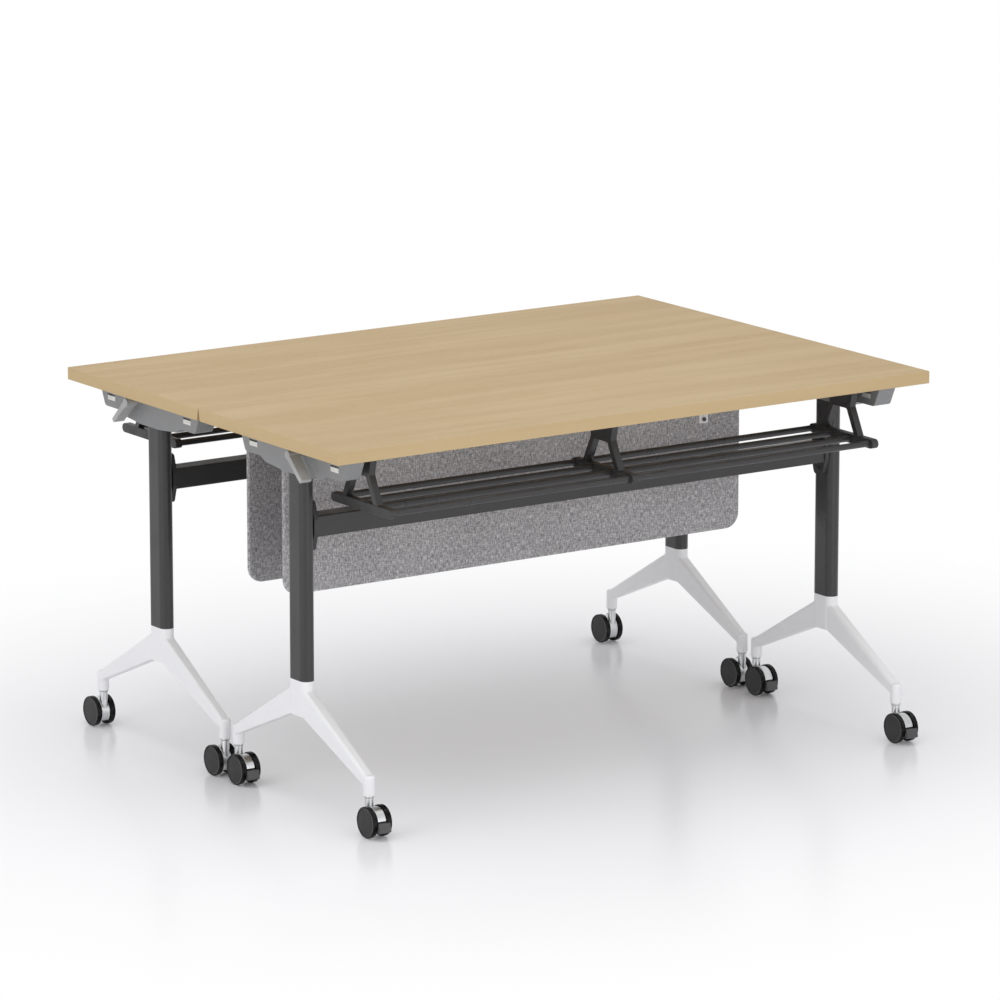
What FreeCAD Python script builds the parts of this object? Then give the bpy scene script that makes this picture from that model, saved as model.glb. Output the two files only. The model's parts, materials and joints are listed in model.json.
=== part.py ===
# Two flip-top tables on castors, pushed together back to back.
# X runs along the tables, Y from the front user to the rear user, Z up.
# The origin is on the floor under the middle of the seam between the two tops.
# Every piece is drawn as on the front table, and the rear table is the same one turned half a turn.
import FreeCAD, Part
import os
import re
import Sketcher

SIZES = {
    # Worktop
    "table_height": 750,
    "top_length": 1400,
    "table_depth": 500,
    "top_thickness": 25,
    "top_edge_round": 1,
    "seam_gap": 0.6,
    "seam_bevel": 6,
    # Play between pieces that move, and between pieces that are screwed together
    "running_clearance": 0.05,
    "moving_gap": 0.5,
    "fitting_gap": 0.3,
    "cut_overrun": 2,
    # Leg: a flat-oval tube with a hinge head on top
    "leg_inset": 69,
    "leg_shift": 10,
    "leg_width": 30,
    "leg_depth": 60,
    "leg_wall": 2,
    "leg_cap": 4,
    "leg_top_drop": 65,
    "head_width": 22,
    "head_foot": 48,
    "head_boss_radius": 16,
    "pivot_behind_leg": 60,
    "pivot_drop": 35,
    "pin_radius": 6,
    # Hinge bracket: a hollow casting under the board
    "bracket_shift": 15,
    "bracket_width": 41,
    "bracket_wall": 3,
    "bracket_inset": 56,
    "bracket_end_lean": 22,
    "bracket_end_length": 76,
    "bracket_ramp_start": 94,
    "bracket_half_belly": 35,
    "bracket_end_depth": 48,
    "bracket_ramp_depth": 57,
    "bracket_depth": 63,
    "bracket_corner": 10,
    "bracket_round": 1.5,
    "bracket_slot_width": 24,
    "bracket_slot_front": 30,
    "bracket_slot_rear": 100,
    "pin_boss_radius": 11,
    # White inserts across the bracket
    "insert_length": 28,
    "insert_height": 9,
    "insert_window": 12.5,
    "insert_drop": 33.5,
    "insert_inset": 47,
    "insert_shift": 5,
    # Release lever
    "lever_outset": 44,
    "lever_width": 23,
    "lever_before_leg": 40,
    "lever_drop": 16,
    "lever_root_radius": 8.5,
    "lever_reach": 48,
    "lever_fall": 44,
    "lever_thickness": 6.5,
    "lever_round": 2,
    "lever_shaft_radius": 5,
    "lever_cam_radius": 7.5,
    "lever_cam_width": 4,
    # Crossbeam
    "beam_width": 42,
    "beam_height": 42,
    "beam_wall": 2,
    "beam_round": 3,
    "beam_drop": 168.5,
    "plate_thickness": 9,
    "plate_height": 98,
    "plate_margin": 3,
    "plate_end_width": 27,
    "plate_corner": 8,
    "plate_lift": 0.5,
    "plate_bolt_offset": 37,
    "bolt_radius": 2.5,
    "bolt_head_radius": 4.5,
    "bolt_head_height": 3,
    "bolt_grip": 4,
    # Foot
    "foot_inset": 15,
    "collar_top": 256,
    "hub_bottom": 186,
    "arm_root": 2,
    "arm_root_top": 252,
    "arm_root_bottom": 193.5,
    "arm_end_top": 116.3,
    "arm_end_bottom": 94.5,
    "arm_step": 1.5,
    "arm_end_step": 0.5,
    "arm_end_overlap": 2,
    "arm_top_round": 7,
    "arm_bottom_round": 1.5,
    "boss_top": 117.5,
    "boss_round": 6,
    "boss_radius": 11.5,
    "boss_bottom": 78,
    "spigot_height": 40,
    # Shelf
    "rail_radius": 6.25,
    "rail_first": 20.5,
    "rail_pitch": 61.5,
    "rail_drop": 110.5,
    "shelf_end_radius": 9.3,
    "shelf_end_front": 5.3,
    "shelf_end_back": 215.5,
    "shelf_end_width": 15,
    "shelf_end_round": 1,
    "shelf_end_inset": 121,
    "shelf_middle_shift": 12.5,
    # Hangers that carry the shelf
    "hanger_setback": 115,
    "hanger_width": 14,
    "hanger_half_foot": 61,
    "hanger_half_arch_foot": 47,
    "hanger_half_waist": 33.5,
    "hanger_half_top": 43,
    "hanger_waist_drop": 46,
    "hanger_arch_drop": 51,
    "hanger_half_arch": 22,
    "hanger_round": 6,
    "flange_width": 20,
    "flange_thickness": 3,
    "screw_radius": 4,
    "screw_height": 2.5,
    "screw_spread": 26,
    # Modesty panel and its hinges
    "panel_inset": 150,
    "panel_thickness": 9.5,
    "panel_to_seam": 64.5,
    "panel_height": 337.5,
    "panel_corner": 32,
    "panel_edge_round": 3.5,
    "hinge_drop": 10.5,
    "hinge_to_panel": 6.5,
    "hinge_inset": 242.75,
    "knuckle_radius": 5,
    "hinge_pin_radius": 2.5,
    "strap_width": 21.5,
    "strap_thickness": 2.25,
    "strap_length": 109,
    "strap_screw_margin": 8,
    "leaf_thickness": 2.5,
    "leaf_ear": 3.5,
    "leaf_flange": 13,
    "leaf_half_depth": 16,
    # Castors
    "wheel_radius": 30.5,
    "wheel_width": 10.5,
    "wheel_round": 2.5,
    "wheel_face_radius": 27.5,
    "wheel_face_depth": 0.6,
    "castor_width": 42,
    "castor_trail": 18,
    "axle_radius": 4,
    "hub_radius": 7,
    "hood_width": 19,
    "hood_radius": 28,
    "hood_floor": 13,
    "hood_round": 1.5,
    "stem_radius": 8.25,
    "stem_ring_radius": 10,
    "stem_ring_height": 3,
    "stem_pin_radius": 5.5,
    "stem_pin_height": 24,
    "pedal_boss_radius": 4.5,
    "pedal_pin_radius": 2,
    "pedal_height": 31,
    "pedal_ear": 3.5,
    "pedal_thickness": 5,
    "pedal_rim_gap": 2,
    "pedal_lip_top": 3,
    "pedal_lip_length": 7,
    "pedal_lip_bottom": 15,
    "pedal_lip_width": 26,
}

# Points where the hinge head's two edges meet its round boss, as shares of the boss's radius
HEAD_UPPER_SHARES = (-0.5, 0.866)
HEAD_LOWER_SHARES = (0.34, -0.94)

RAIL_COUNT = 4
HALF_TURN = 180

document = FreeCAD.newDocument("flip_top_tables")
sheet = document.addObject("Spreadsheet::Sheet", "Sizes")
for row, (alias, number) in enumerate(SIZES.items(), start=1):
    sheet.set(f"A{row}", alias)
    sheet.set(f"B{row}", str(number))
    sheet.setAlias(f"B{row}", alias)
document.recompute()

nodes = []


def formula(text):
    """The expression for a sum of named sizes, each looked up in the sheet."""
    return re.sub(r"[a-z][a-z_]+", lambda word: "Sizes." + word.group(), text)


def value(text):
    """The number that a sum of named sizes comes to."""
    return float(sheet.evalExpression(formula(text)))


def bind(thing, field, text):
    """Ties one property of an object to a sum of named sizes."""
    thing.setExpression(field, formula(text))


def behind_edge(text):
    """Y of a place measured back from the user's edge of the front table."""
    return f"({text}) - table_depth"


def pin_point(sketch, curve, point, across, up):
    """Holds one point of a sketch at two named distances from the sketch's origin."""
    for kind, text in (("DistanceX", across), ("DistanceY", up)):
        number = sketch.addConstraint(Sketcher.Constraint(kind, -1, 1, curve, point, value(text)))
        bind(sketch, f"Constraints[{number}]", text)


def polygon(corners):
    """Draws straight lines from corner to corner, each corner given as two sums of named sizes."""

    def draw(sketch):
        points = [FreeCAD.Vector(value(across), value(up), 0) for across, up in corners]
        first = sketch.GeometryCount
        last = first + len(points) - 1
        for number, start in enumerate(points):
            end = points[(number + 1) % len(points)]
            sketch.addGeometry(Part.LineSegment(start, end))
        for curve in range(first, last + 1):
            follower = curve + 1 if curve < last else first
            sketch.addConstraint(Sketcher.Constraint("Coincident", curve, 2, follower, 1))
        for curve, (across, up) in enumerate(corners, start=first):
            pin_point(sketch, curve, 1, across, up)

    return draw


def rectangle(low_across, high_across, low_up, high_up):
    """Draws an upright rectangle between four named distances."""
    return polygon(
        (
            (low_across, low_up),
            (high_across, low_up),
            (high_across, high_up),
            (low_across, high_up),
        )
    )


def circle(across, up, radius):
    """Draws a circle about a named centre."""

    def draw(sketch):
        centre = FreeCAD.Vector(value(across), value(up), 0)
        curve = sketch.addGeometry(Part.Circle(centre, FreeCAD.Vector(0, 0, 1), value(radius)))
        pin_point(sketch, curve, 3, across, up)
        number = sketch.addConstraint(Sketcher.Constraint("Radius", curve, value(radius)))
        bind(sketch, f"Constraints[{number}]", radius)

    return draw


def stadium(across, up, reach, radius, upright):
    """Draws a flat oval: two round ends, reach each way from the middle, joined by straight sides."""

    def draw(sketch):
        middle = FreeCAD.Vector(value(across), value(up), 0)
        along = FreeCAD.Vector(0, 1, 0) if upright else FreeCAD.Vector(1, 0, 0)
        side = FreeCAD.Vector(-along.y, along.x, 0)
        turn = FreeCAD.Units.parseQuantity("90 deg").getValueAs("rad").Value
        lean = turn if upright else 0
        ends = []
        for sign in (-1, 1):
            centre = middle + along * (sign * value(reach))
            whole = Part.Circle(centre, FreeCAD.Vector(0, 0, 1), value(radius))
            begin = lean + (turn if sign < 0 else -turn)
            ends.append(sketch.addGeometry(Part.ArcOfCircle(whole, begin, begin + 2 * turn)))
        sides = []
        for sign in (-1, 1):
            offset = side * (sign * value(radius))
            start = middle - along * value(reach) + offset
            end = middle + along * value(reach) + offset
            sides.append(sketch.addGeometry(Part.LineSegment(start, end)))
        low, high = ends
        under, over = sides
        for arc, arc_end, line, line_end in (
            (low, 1, over, 1),
            (low, 2, under, 1),
            (high, 1, under, 2),
            (high, 2, over, 2),
        ):
            sketch.addConstraint(Sketcher.Constraint("Tangent", arc, arc_end, line, line_end))
        for sign, arc in (("-", low), ("+", high)):
            far = f"({up}) {sign} ({reach})" if upright else up
            out = across if upright else f"({across}) {sign} ({reach})"
            pin_point(sketch, arc, 3, out, far)
        number = sketch.addConstraint(Sketcher.Constraint("Radius", low, value(radius)))
        bind(sketch, f"Constraints[{number}]", radius)
        sketch.addConstraint(Sketcher.Constraint("Equal", low, high))

    return draw


def new_body(label):
    """An empty piece of the model."""
    body = document.addObject("PartDesign::Body", label)
    body.Label = label
    return body


def sketch_on(body, plane, level, outlines):
    """A sketch parallel to one of the body's own planes, a named distance from it."""
    sketch = body.newObject("Sketcher::SketchObject", body.Name + "_sketch")
    support = next(item for item in body.Origin.OriginFeatures if item.Role == plane)
    sketch.AttachmentSupport = [(support, "")]
    sketch.MapMode = "FlatFace"
    bind(sketch, "AttachmentOffset.Base.z", level)
    for draw in outlines:
        draw(sketch)
    return sketch


def add(body, plane, low, high, *outlines):
    """Adds material between two named distances along the plane's normal."""
    sketch = sketch_on(body, plane, low, outlines)
    pad = body.newObject("PartDesign::Pad", body.Name + "_pad")
    pad.Profile = sketch
    bind(pad, "Length", f"({high}) - ({low})")


def cut(body, plane, low, high, *outlines):
    """Takes material away between two named distances along the plane's normal."""
    sketch = sketch_on(body, plane, low, outlines)
    pocket = body.newObject("PartDesign::Pocket", body.Name + "_pocket")
    pocket.Profile = sketch
    pocket.Reversed = True
    bind(pocket, "Length", f"({high}) - ({low})")


def soften(body, radius, chosen):
    """Rounds the edges for which chosen is true."""
    document.recompute()
    base = body.Tip
    names = [f"Edge{number}" for number, edge in enumerate(base.Shape.Edges, start=1) if chosen(edge)]
    if not names:
        raise RuntimeError(f"no edge of {body.Label} is chosen for rounding")
    fillet = body.newObject("PartDesign::Fillet", body.Name + "_fillet")
    fillet.Base = (base, names)
    bind(fillet, "Radius", radius)


def near(first, second):
    """True when two distances are the same but for rounding."""
    return abs(first - second) < value("running_clearance")


def runs_along(edge, axis):
    """True for a straight edge parallel to the X, Y or Z axis."""
    box = edge.BoundBox
    spans = {"x": box.XLength, "y": box.YLength, "z": box.ZLength}
    long = spans.pop(axis)
    return not near(long, 0) and all(near(span, 0) for span in spans.values())


def at(edge, **places):
    """True when the edge's middle is at the given X, Y or Z, each a sum of named sizes."""
    middle = edge.BoundBox.Center
    return all(near(getattr(middle, axis), value(text)) for axis, text in places.items())


def keep(piece, label, turned):
    """Names a finished piece as a node and puts it on its table."""
    piece.Label = label
    if turned:
        piece.Placement = FreeCAD.Placement(
            FreeCAD.Vector(0, 0, 0), FreeCAD.Rotation(FreeCAD.Vector(0, 0, 1), HALF_TURN)
        )
    nodes.append(piece)


def keep_group(members, label, turned):
    """Names several loose solids as one node."""
    group = document.addObject("Part::Compound", label)
    group.Links = members
    keep(group, label, turned)


def side_middle(sign, inset):
    """X of a place measured in from the left (sign -) or right (sign +) end of the top."""
    return f"{sign}1 * (top_length / 2 - ({inset}))"


UNDERSIDE = "table_height - top_thickness"
LEG_TOP = f"({UNDERSIDE} - leg_top_drop)"
BEAM_Z = f"({UNDERSIDE} - beam_drop)"
PLATE_Z = f"({BEAM_Z} + plate_lift)"
RAIL_Z = f"({UNDERSIDE} - rail_drop)"
WAIST_Z = f"({UNDERSIDE} - hanger_waist_drop)"
ARCH_Z = f"({UNDERSIDE} - hanger_arch_drop)"
HINGE_Z = f"({UNDERSIDE} - hinge_drop)"
PANEL_TOP = f"({HINGE_Z} - hinge_to_panel)"
PANEL_BOTTOM = f"({PANEL_TOP} - panel_height)"
STRAP_BOTTOM = f"({PANEL_TOP} - strap_length)"
LEG_Y = "(-table_depth / 2 - leg_shift)"
FOOT_REACH = "(table_depth / 2 - foot_inset)"
PIVOT_Y = f"({LEG_Y} + pivot_behind_leg)"
PIVOT_Z = f"({UNDERSIDE} - pivot_drop)"
LEVER_Y = f"({LEG_Y} - lever_before_leg)"
BRACKET_Y = "(-table_depth / 2 - bracket_shift)"
BRACKET_HALF = "(table_depth / 2 - bracket_inset)"
PANEL_Y = "(-panel_to_seam)"


def make_top(label, turned):
    """The board: a square user's edge, and a seam edge that is bevelled under so that it clears the
    other board as it swings down."""
    body = new_body(label)
    seam = "-seam_gap / 2"
    outline = polygon(
        (
            ("-table_depth", UNDERSIDE),
            (f"{seam} - seam_bevel", UNDERSIDE),
            (seam, "table_height"),
            ("-table_depth", "table_height"),
        )
    )
    add(body, "YZ_Plane", "-top_length / 2", "top_length / 2", outline)

    def outer_edge(edge):
        return runs_along(edge, "x") and at(edge, y="-table_depth") or runs_along(edge, "y")

    soften(body, "top_edge_round", outer_edge)
    keep(body, label, turned)


def bracket_outline(inset):
    """The bracket's side view, or that of its hollow when it is set in by a wall: a straight belly,
    ramps that climb to shallower ends, and end faces that lean out to the board."""
    half = (
        ("bracket_half_belly", f"bracket_depth - {inset}"),
        (f"{BRACKET_HALF} - bracket_ramp_start", f"bracket_ramp_depth - {inset}"),
        (f"{BRACKET_HALF} - bracket_end_length", f"bracket_end_depth - {inset}"),
        (f"{BRACKET_HALF} - bracket_end_lean - {inset}", f"bracket_end_depth - {inset}"),
        (f"{BRACKET_HALF} - {inset}", "0"),
    )
    rear = [(f"{BRACKET_Y} + ({reach})", f"{UNDERSIDE} - ({depth})") for reach, depth in half]
    front = [(f"{BRACKET_Y} - ({reach})", f"{UNDERSIDE} - ({depth})") for reach, depth in half]
    return rear + front[::-1]


def insert_window(sign, height):
    """The side view of one insert, or of the window that it sits in."""
    reach = f"({BRACKET_HALF} - insert_inset - insert_shift / 2)"
    middle = f"{BRACKET_Y} - insert_shift / 2 {sign} {reach}"
    bottom = f"{UNDERSIDE} - insert_drop"
    return rectangle(
        f"{middle} - insert_length / 2", f"{middle} + insert_length / 2", bottom, f"{bottom} + {height}"
    )


def make_bracket(label, turned, sign):
    """A hollow casting, open towards the board, with a slot in its belly for the leg's hinge head."""
    body = new_body(label)
    middle = side_middle(sign, "leg_inset")
    outer_low = f"{middle} - bracket_width / 2"
    outer_high = f"{middle} + bracket_width / 2"
    add(body, "YZ_Plane", outer_low, outer_high, polygon(bracket_outline("0")))
    end_z = f"{UNDERSIDE} - bracket_end_depth"

    def end_corner(edge):
        return runs_along(edge, "x") and any(
            at(edge, y=f"{BRACKET_Y} {way} ({BRACKET_HALF} - bracket_end_lean)", z=end_z) for way in "+-"
        )

    soften(body, "bracket_corner", end_corner)

    def rim(edge):
        box = edge.BoundBox
        return near(box.XLength, 0) and box.ZMin < value(UNDERSIDE) - value("running_clearance")

    soften(body, "bracket_round", rim)
    cut(
        body,
        "YZ_Plane",
        f"{outer_low} + bracket_wall",
        f"{outer_high} - bracket_wall",
        polygon(bracket_outline("bracket_wall")),
    )
    # Bosses inside both walls, close to the hinge head
    head_gap = "(head_width / 2 + moving_gap)"
    for low, high in (
        (f"{outer_low} + bracket_wall / 2", f"{middle} - {head_gap}"),
        (f"{middle} + {head_gap}", f"{outer_high} - bracket_wall / 2"),
    ):
        add(body, "YZ_Plane", low, high, circle(PIVOT_Y, PIVOT_Z, "pin_boss_radius"))
    cut(
        body,
        "XY_Plane",
        f"{UNDERSIDE} - bracket_depth - cut_overrun",
        end_z,
        rectangle(
            f"{middle} - bracket_slot_width / 2",
            f"{middle} + bracket_slot_width / 2",
            f"{BRACKET_Y} - bracket_slot_front",
            f"{BRACKET_Y} + bracket_slot_rear",
        ),
    )
    cut(
        body,
        "YZ_Plane",
        f"{outer_low} - cut_overrun",
        f"{outer_high} + cut_overrun",
        circle(PIVOT_Y, PIVOT_Z, "pin_radius + running_clearance"),
        insert_window("+", "insert_window"),
        insert_window("-", "insert_window"),
    )
    shaft_hole = circle(
        LEVER_Y,
        f"{UNDERSIDE} - lever_drop",
        "lever_shaft_radius + running_clearance",
    )
    outer_face = outer_low if sign == "-" else f"{outer_high} - bracket_wall - cut_overrun"
    cut(body, "YZ_Plane", outer_face, f"{outer_face} + bracket_wall + cut_overrun", shaft_hole)
    keep(body, label, turned)


def make_inserts(label, turned):
    """White bars that cross each bracket from face to face."""
    members = []
    for sign in "-+":
        middle = side_middle(sign, "leg_inset")
        for end in "-+":
            body = new_body(f"{label}_{len(members)}")
            low = f"{middle} - bracket_width / 2"
            high = f"{middle} + bracket_width / 2"
            add(body, "YZ_Plane", low, high, insert_window(end, "insert_height"))
            members.append(body)
    keep_group(members, label, turned)


def make_lever(label, turned, sign):
    """A paddle outboard of the bracket, on a shaft that ends in a cam inside the bracket."""
    body = new_body(label)
    middle = side_middle(sign, "leg_inset - lever_outset")
    pivot_z = f"{UNDERSIDE} - lever_drop"
    low = f"{middle} - lever_width / 2"
    high = f"{middle} + lever_width / 2"
    tip_y = f"{LEVER_Y} - lever_reach"
    tip_z = f"{pivot_z} - lever_fall"
    half = "lever_thickness / 2"
    paddle = polygon(
        (
            (f"{LEVER_Y} - {half}", f"{pivot_z} + lever_root_radius - {half}"),
            (f"{tip_y} - {half}", f"{tip_z} + {half}"),
            (f"{tip_y} + {half}", f"{tip_z} - {half}"),
            (f"{LEVER_Y} + {half}", f"{pivot_z} - lever_root_radius + {half}"),
        )
    )
    add(body, "YZ_Plane", low, high, paddle)
    add(body, "YZ_Plane", low, high, circle(LEVER_Y, pivot_z, "lever_root_radius"))

    def tip_edge(edge):
        return runs_along(edge, "x") and edge.BoundBox.Center.z < value(f"{tip_z} + lever_thickness")

    soften(body, "lever_round", tip_edge)
    leg = side_middle(sign, "leg_inset")
    if sign == "-":
        wall = f"{leg} - bracket_width / 2 + bracket_wall"
        cam_low = f"{wall} + moving_gap"
        cam_high = f"{cam_low} + lever_cam_width"
        shaft_low, shaft_high = f"{high} - cut_overrun", cam_high
    else:
        wall = f"{leg} + bracket_width / 2 - bracket_wall"
        cam_high = f"{wall} - moving_gap"
        cam_low = f"{cam_high} - lever_cam_width"
        shaft_low, shaft_high = cam_low, f"{low} + cut_overrun"
    add(body, "YZ_Plane", shaft_low, shaft_high, circle(LEVER_Y, pivot_z, "lever_shaft_radius"))
    add(body, "YZ_Plane", cam_low, cam_high, circle(LEVER_Y, pivot_z, "lever_cam_radius"))
    keep(body, label, turned)


def make_leg(label, turned, sign):
    """A flat-oval tube, closed at the top, with the hinge head that reaches back to the pivot."""
    body = new_body(label)
    middle = side_middle(sign, "leg_inset")
    straight = "(leg_depth - leg_width) / 2"
    add(
        body,
        "XY_Plane",
        "collar_top",
        LEG_TOP,
        stadium(middle, LEG_Y, straight, "leg_width / 2", True),
    )
    low = f"{middle} - head_width / 2"
    high = f"{middle} + head_width / 2"
    head_z = f"{LEG_TOP} - leg_cap / 2"
    upper_y, upper_z = HEAD_UPPER_SHARES
    lower_y, lower_z = HEAD_LOWER_SHARES
    head = polygon(
        (
            (f"{LEG_Y} - head_foot / 2", head_z),
            (f"{LEG_Y} + head_foot / 2", head_z),
            (f"{LEG_Y} + head_foot / 2", LEG_TOP),
            (
                f"{PIVOT_Y} + {lower_y} * head_boss_radius",
                f"{PIVOT_Z} + {lower_z} * head_boss_radius",
            ),
            (
                f"{PIVOT_Y} + {upper_y} * head_boss_radius",
                f"{PIVOT_Z} + {upper_z} * head_boss_radius",
            ),
            (f"{LEG_Y} - head_foot / 2", LEG_TOP),
        )
    )
    add(body, "YZ_Plane", low, high, head)
    add(body, "YZ_Plane", low, high, circle(PIVOT_Y, PIVOT_Z, "head_boss_radius"))
    cut(
        body,
        "XY_Plane",
        "collar_top",
        f"{LEG_TOP} - leg_cap",
        stadium(middle, LEG_Y, straight, "leg_width / 2 - leg_wall", True),
    )
    cut(
        body,
        "YZ_Plane",
        f"{low} - cut_overrun",
        f"{high} + cut_overrun",
        circle(PIVOT_Y, PIVOT_Z, "pin_radius + running_clearance"),
    )
    inner = f"{middle} + leg_width / 2" if sign == "-" else f"{middle} - leg_width / 2"
    cut(
        body,
        "YZ_Plane",
        f"{inner} - leg_wall - fitting_gap",
        f"{inner} + leg_wall + fitting_gap",
        *plate_bolt_circles("bolt_radius + fitting_gap"),
    )
    keep(body, label, turned)


def plate_bolt_circles(radius):
    """Circles at the two bolts of a crossbeam plate."""
    return [
        circle(LEG_Y, f"{PLATE_Z} {way} plate_bolt_offset", radius) for way in "+-"
    ]


def make_beam(label, turned):
    """A square tube between two thick plates that narrow above and below it, each bolted to its leg."""
    members = []
    half_width = "beam_width / 2"
    half_height = "beam_height / 2"
    half_length = "(top_length / 2 - leg_inset - leg_width / 2 - plate_thickness)"
    tube = new_body(f"{label}_tube")
    add(
        tube,
        "YZ_Plane",
        f"-{half_length}",
        half_length,
        rectangle(
            f"{LEG_Y} - {half_width}",
            f"{LEG_Y} + {half_width}",
            f"{BEAM_Z} - {half_height}",
            f"{BEAM_Z} + {half_height}",
        ),
    )
    soften(tube, "beam_round", lambda edge: runs_along(edge, "x"))
    cut(
        tube,
        "YZ_Plane",
        f"-{half_length} - cut_overrun",
        f"{half_length} + cut_overrun",
        rectangle(
            f"{LEG_Y} - {half_width} + beam_wall",
            f"{LEG_Y} + {half_width} - beam_wall",
            f"{BEAM_Z} - {half_height} + beam_wall",
            f"{BEAM_Z} + {half_height} - beam_wall",
        ),
    )
    members.append(tube)
    broad = f"({half_width} + plate_margin)"
    level = f"({half_height} - plate_corner)"
    right_side = (
        (f"{LEG_Y} + plate_end_width / 2", f"{PLATE_Z} - plate_height / 2"),
        (f"{LEG_Y} + {broad}", f"{PLATE_Z} - {level}"),
        (f"{LEG_Y} + {broad}", f"{PLATE_Z} + {level}"),
        (f"{LEG_Y} + plate_end_width / 2", f"{PLATE_Z} + plate_height / 2"),
    )
    left_side = (
        (f"{LEG_Y} - plate_end_width / 2", f"{PLATE_Z} + plate_height / 2"),
        (f"{LEG_Y} - {broad}", f"{PLATE_Z} + {level}"),
        (f"{LEG_Y} - {broad}", f"{PLATE_Z} - {level}"),
        (f"{LEG_Y} - plate_end_width / 2", f"{PLATE_Z} - plate_height / 2"),
    )
    plate_outline = right_side + left_side
    for sign in "-+":
        low = half_length if sign == "+" else f"-{half_length} - plate_thickness"
        high = f"{low} + plate_thickness"
        plate = new_body(f"{label}_plate_{len(members)}")
        add(
            plate,
            "YZ_Plane",
            low,
            high,
            polygon(plate_outline),
        )
        soften(plate, "plate_corner", lambda edge: runs_along(edge, "x"))
        cut(
            plate,
            "YZ_Plane",
            f"{low} - cut_overrun",
            f"{high} + cut_overrun",
            *plate_bolt_circles("bolt_radius + fitting_gap"),
        )
        members.append(plate)
        for way in "+-":
            bolt = new_body(f"{label}_bolt_{len(members)}")
            bolt_z = f"{PLATE_Z} {way} plate_bolt_offset"
            face = high if sign == "-" else low
            if sign == "-":
                head_low, head_high = face, f"{face} + bolt_head_height"
                shank_low, shank_high = f"{face} - plate_thickness - bolt_grip", face
            else:
                head_low, head_high = f"{face} - bolt_head_height", face
                shank_low, shank_high = face, f"{face} + plate_thickness + bolt_grip"
            add(bolt, "YZ_Plane", head_low, head_high, circle(LEG_Y, bolt_z, "bolt_head_radius"))
            add(bolt, "YZ_Plane", shank_low, shank_high, circle(LEG_Y, bolt_z, "bolt_radius"))
            members.append(bolt)
    keep_group(members, label, turned)


def make_arm(label, middle, way):
    """One arm of a foot, from inside the hub to inside the castor boss. It narrows towards the boss
    and is rounded on top."""
    body = new_body(label)
    half_root = "(leg_width / 2 - arm_step)"
    root_y = f"{LEG_Y} {way} arm_root"
    end_y = f"{LEG_Y} {way} ({FOOT_REACH} + arm_end_overlap)"
    clear_y = f"{LEG_Y} {way} ({FOOT_REACH} + arm_end_overlap + cut_overrun)"
    side_view = polygon(
        (
            (root_y, "arm_root_top"),
            (end_y, "arm_end_top"),
            (end_y, "arm_end_bottom"),
            (root_y, "arm_root_bottom"),
        )
    )
    add(body, "YZ_Plane", f"{middle} - {half_root}", f"{middle} + {half_root}", side_view)
    wedges = []
    for side in "-+":
        end_x = f"{middle} {side} (boss_radius - arm_end_step)"
        clear_x = f"{middle} {side} leg_width"
        root_x = f"{middle} {side} {half_root}"
        corners = (root_x, root_y), (end_x, end_y), (end_x, clear_y), (clear_x, clear_y), (clear_x, root_y)
        wedges.append(polygon(corners))
    cut(body, "XY_Plane", "arm_end_bottom - cut_overrun", "arm_root_top + cut_overrun", *wedges)

    def is_long(edge):
        return edge.Length > value(f"{FOOT_REACH} / 2")

    def is_high(edge):
        middle_z = value("(arm_root_top + arm_root_bottom + arm_end_top + arm_end_bottom) / 4")
        return edge.BoundBox.Center.z > middle_z

    soften(body, "arm_top_round", lambda edge: is_long(edge) and is_high(edge))
    soften(body, "arm_bottom_round", lambda edge: is_long(edge) and not is_high(edge))
    return body


def make_foot(label, turned, sign):
    """A flat-oval hub with a spigot for the leg, and two arms that slope down to the castor bosses.
    The arms stand back a little from the hub's flat sides."""
    middle = side_middle(sign, "leg_inset")
    straight = "(leg_depth - leg_width) / 2"
    play = "(leg_wall + fitting_gap)"
    hub = new_body(f"{label}_hub")
    add(hub, "XY_Plane", "hub_bottom", "collar_top", stadium(middle, LEG_Y, straight, "leg_width / 2", True))
    add(
        hub,
        "XY_Plane",
        "collar_top",
        "collar_top + spigot_height",
        stadium(middle, LEG_Y, straight, f"leg_width / 2 - {play}", True),
    )
    members = [hub]
    bores = new_body(f"{label}_bores")
    for number, way in enumerate("-+"):
        boss_y = f"{LEG_Y} {way} {FOOT_REACH}"
        boss = new_body(f"{label}_boss_{number}")
        add(boss, "XY_Plane", "boss_bottom", "boss_top", circle(middle, boss_y, "boss_radius"))
        soften(boss, "boss_round", lambda edge: at(edge, z="boss_top"))
        members += [boss, make_arm(f"{label}_arm_{number}", middle, way)]
        add(
            bores,
            "XY_Plane",
            "boss_bottom - cut_overrun",
            "boss_bottom + stem_pin_height + moving_gap",
            circle(middle, boss_y, "stem_pin_radius + running_clearance"),
        )
    joined = document.addObject("Part::MultiFuse", f"{label}_joined")
    joined.Shapes = members
    foot = document.addObject("Part::Cut", label)
    foot.Base = joined
    foot.Tool = bores
    keep(foot, label, turned)


def shelf_piece_x():
    """X of the middle of each end piece and of the middle piece, from left to right."""
    end = "(top_length / 2 - shelf_end_inset - shelf_end_width / 2)"
    return (f"-{end}", "-shelf_middle_shift", end)


def make_rails(label, turned):
    """Round rails in two lengths, from each end piece to the middle piece."""
    members = []
    pieces = shelf_piece_x()
    for left, right in zip(pieces, pieces[1:]):
        for number in range(RAIL_COUNT):
            body = new_body(f"{label}_{len(members)}")
            rail_y = behind_edge(f"rail_first + {number} * rail_pitch")
            add(
                body,
                "YZ_Plane",
                f"{left} + shelf_end_width / 2",
                f"{right} - shelf_end_width / 2",
                circle(rail_y, RAIL_Z, "rail_radius"),
            )
            members.append(body)
    keep_group(members, label, turned)


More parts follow.
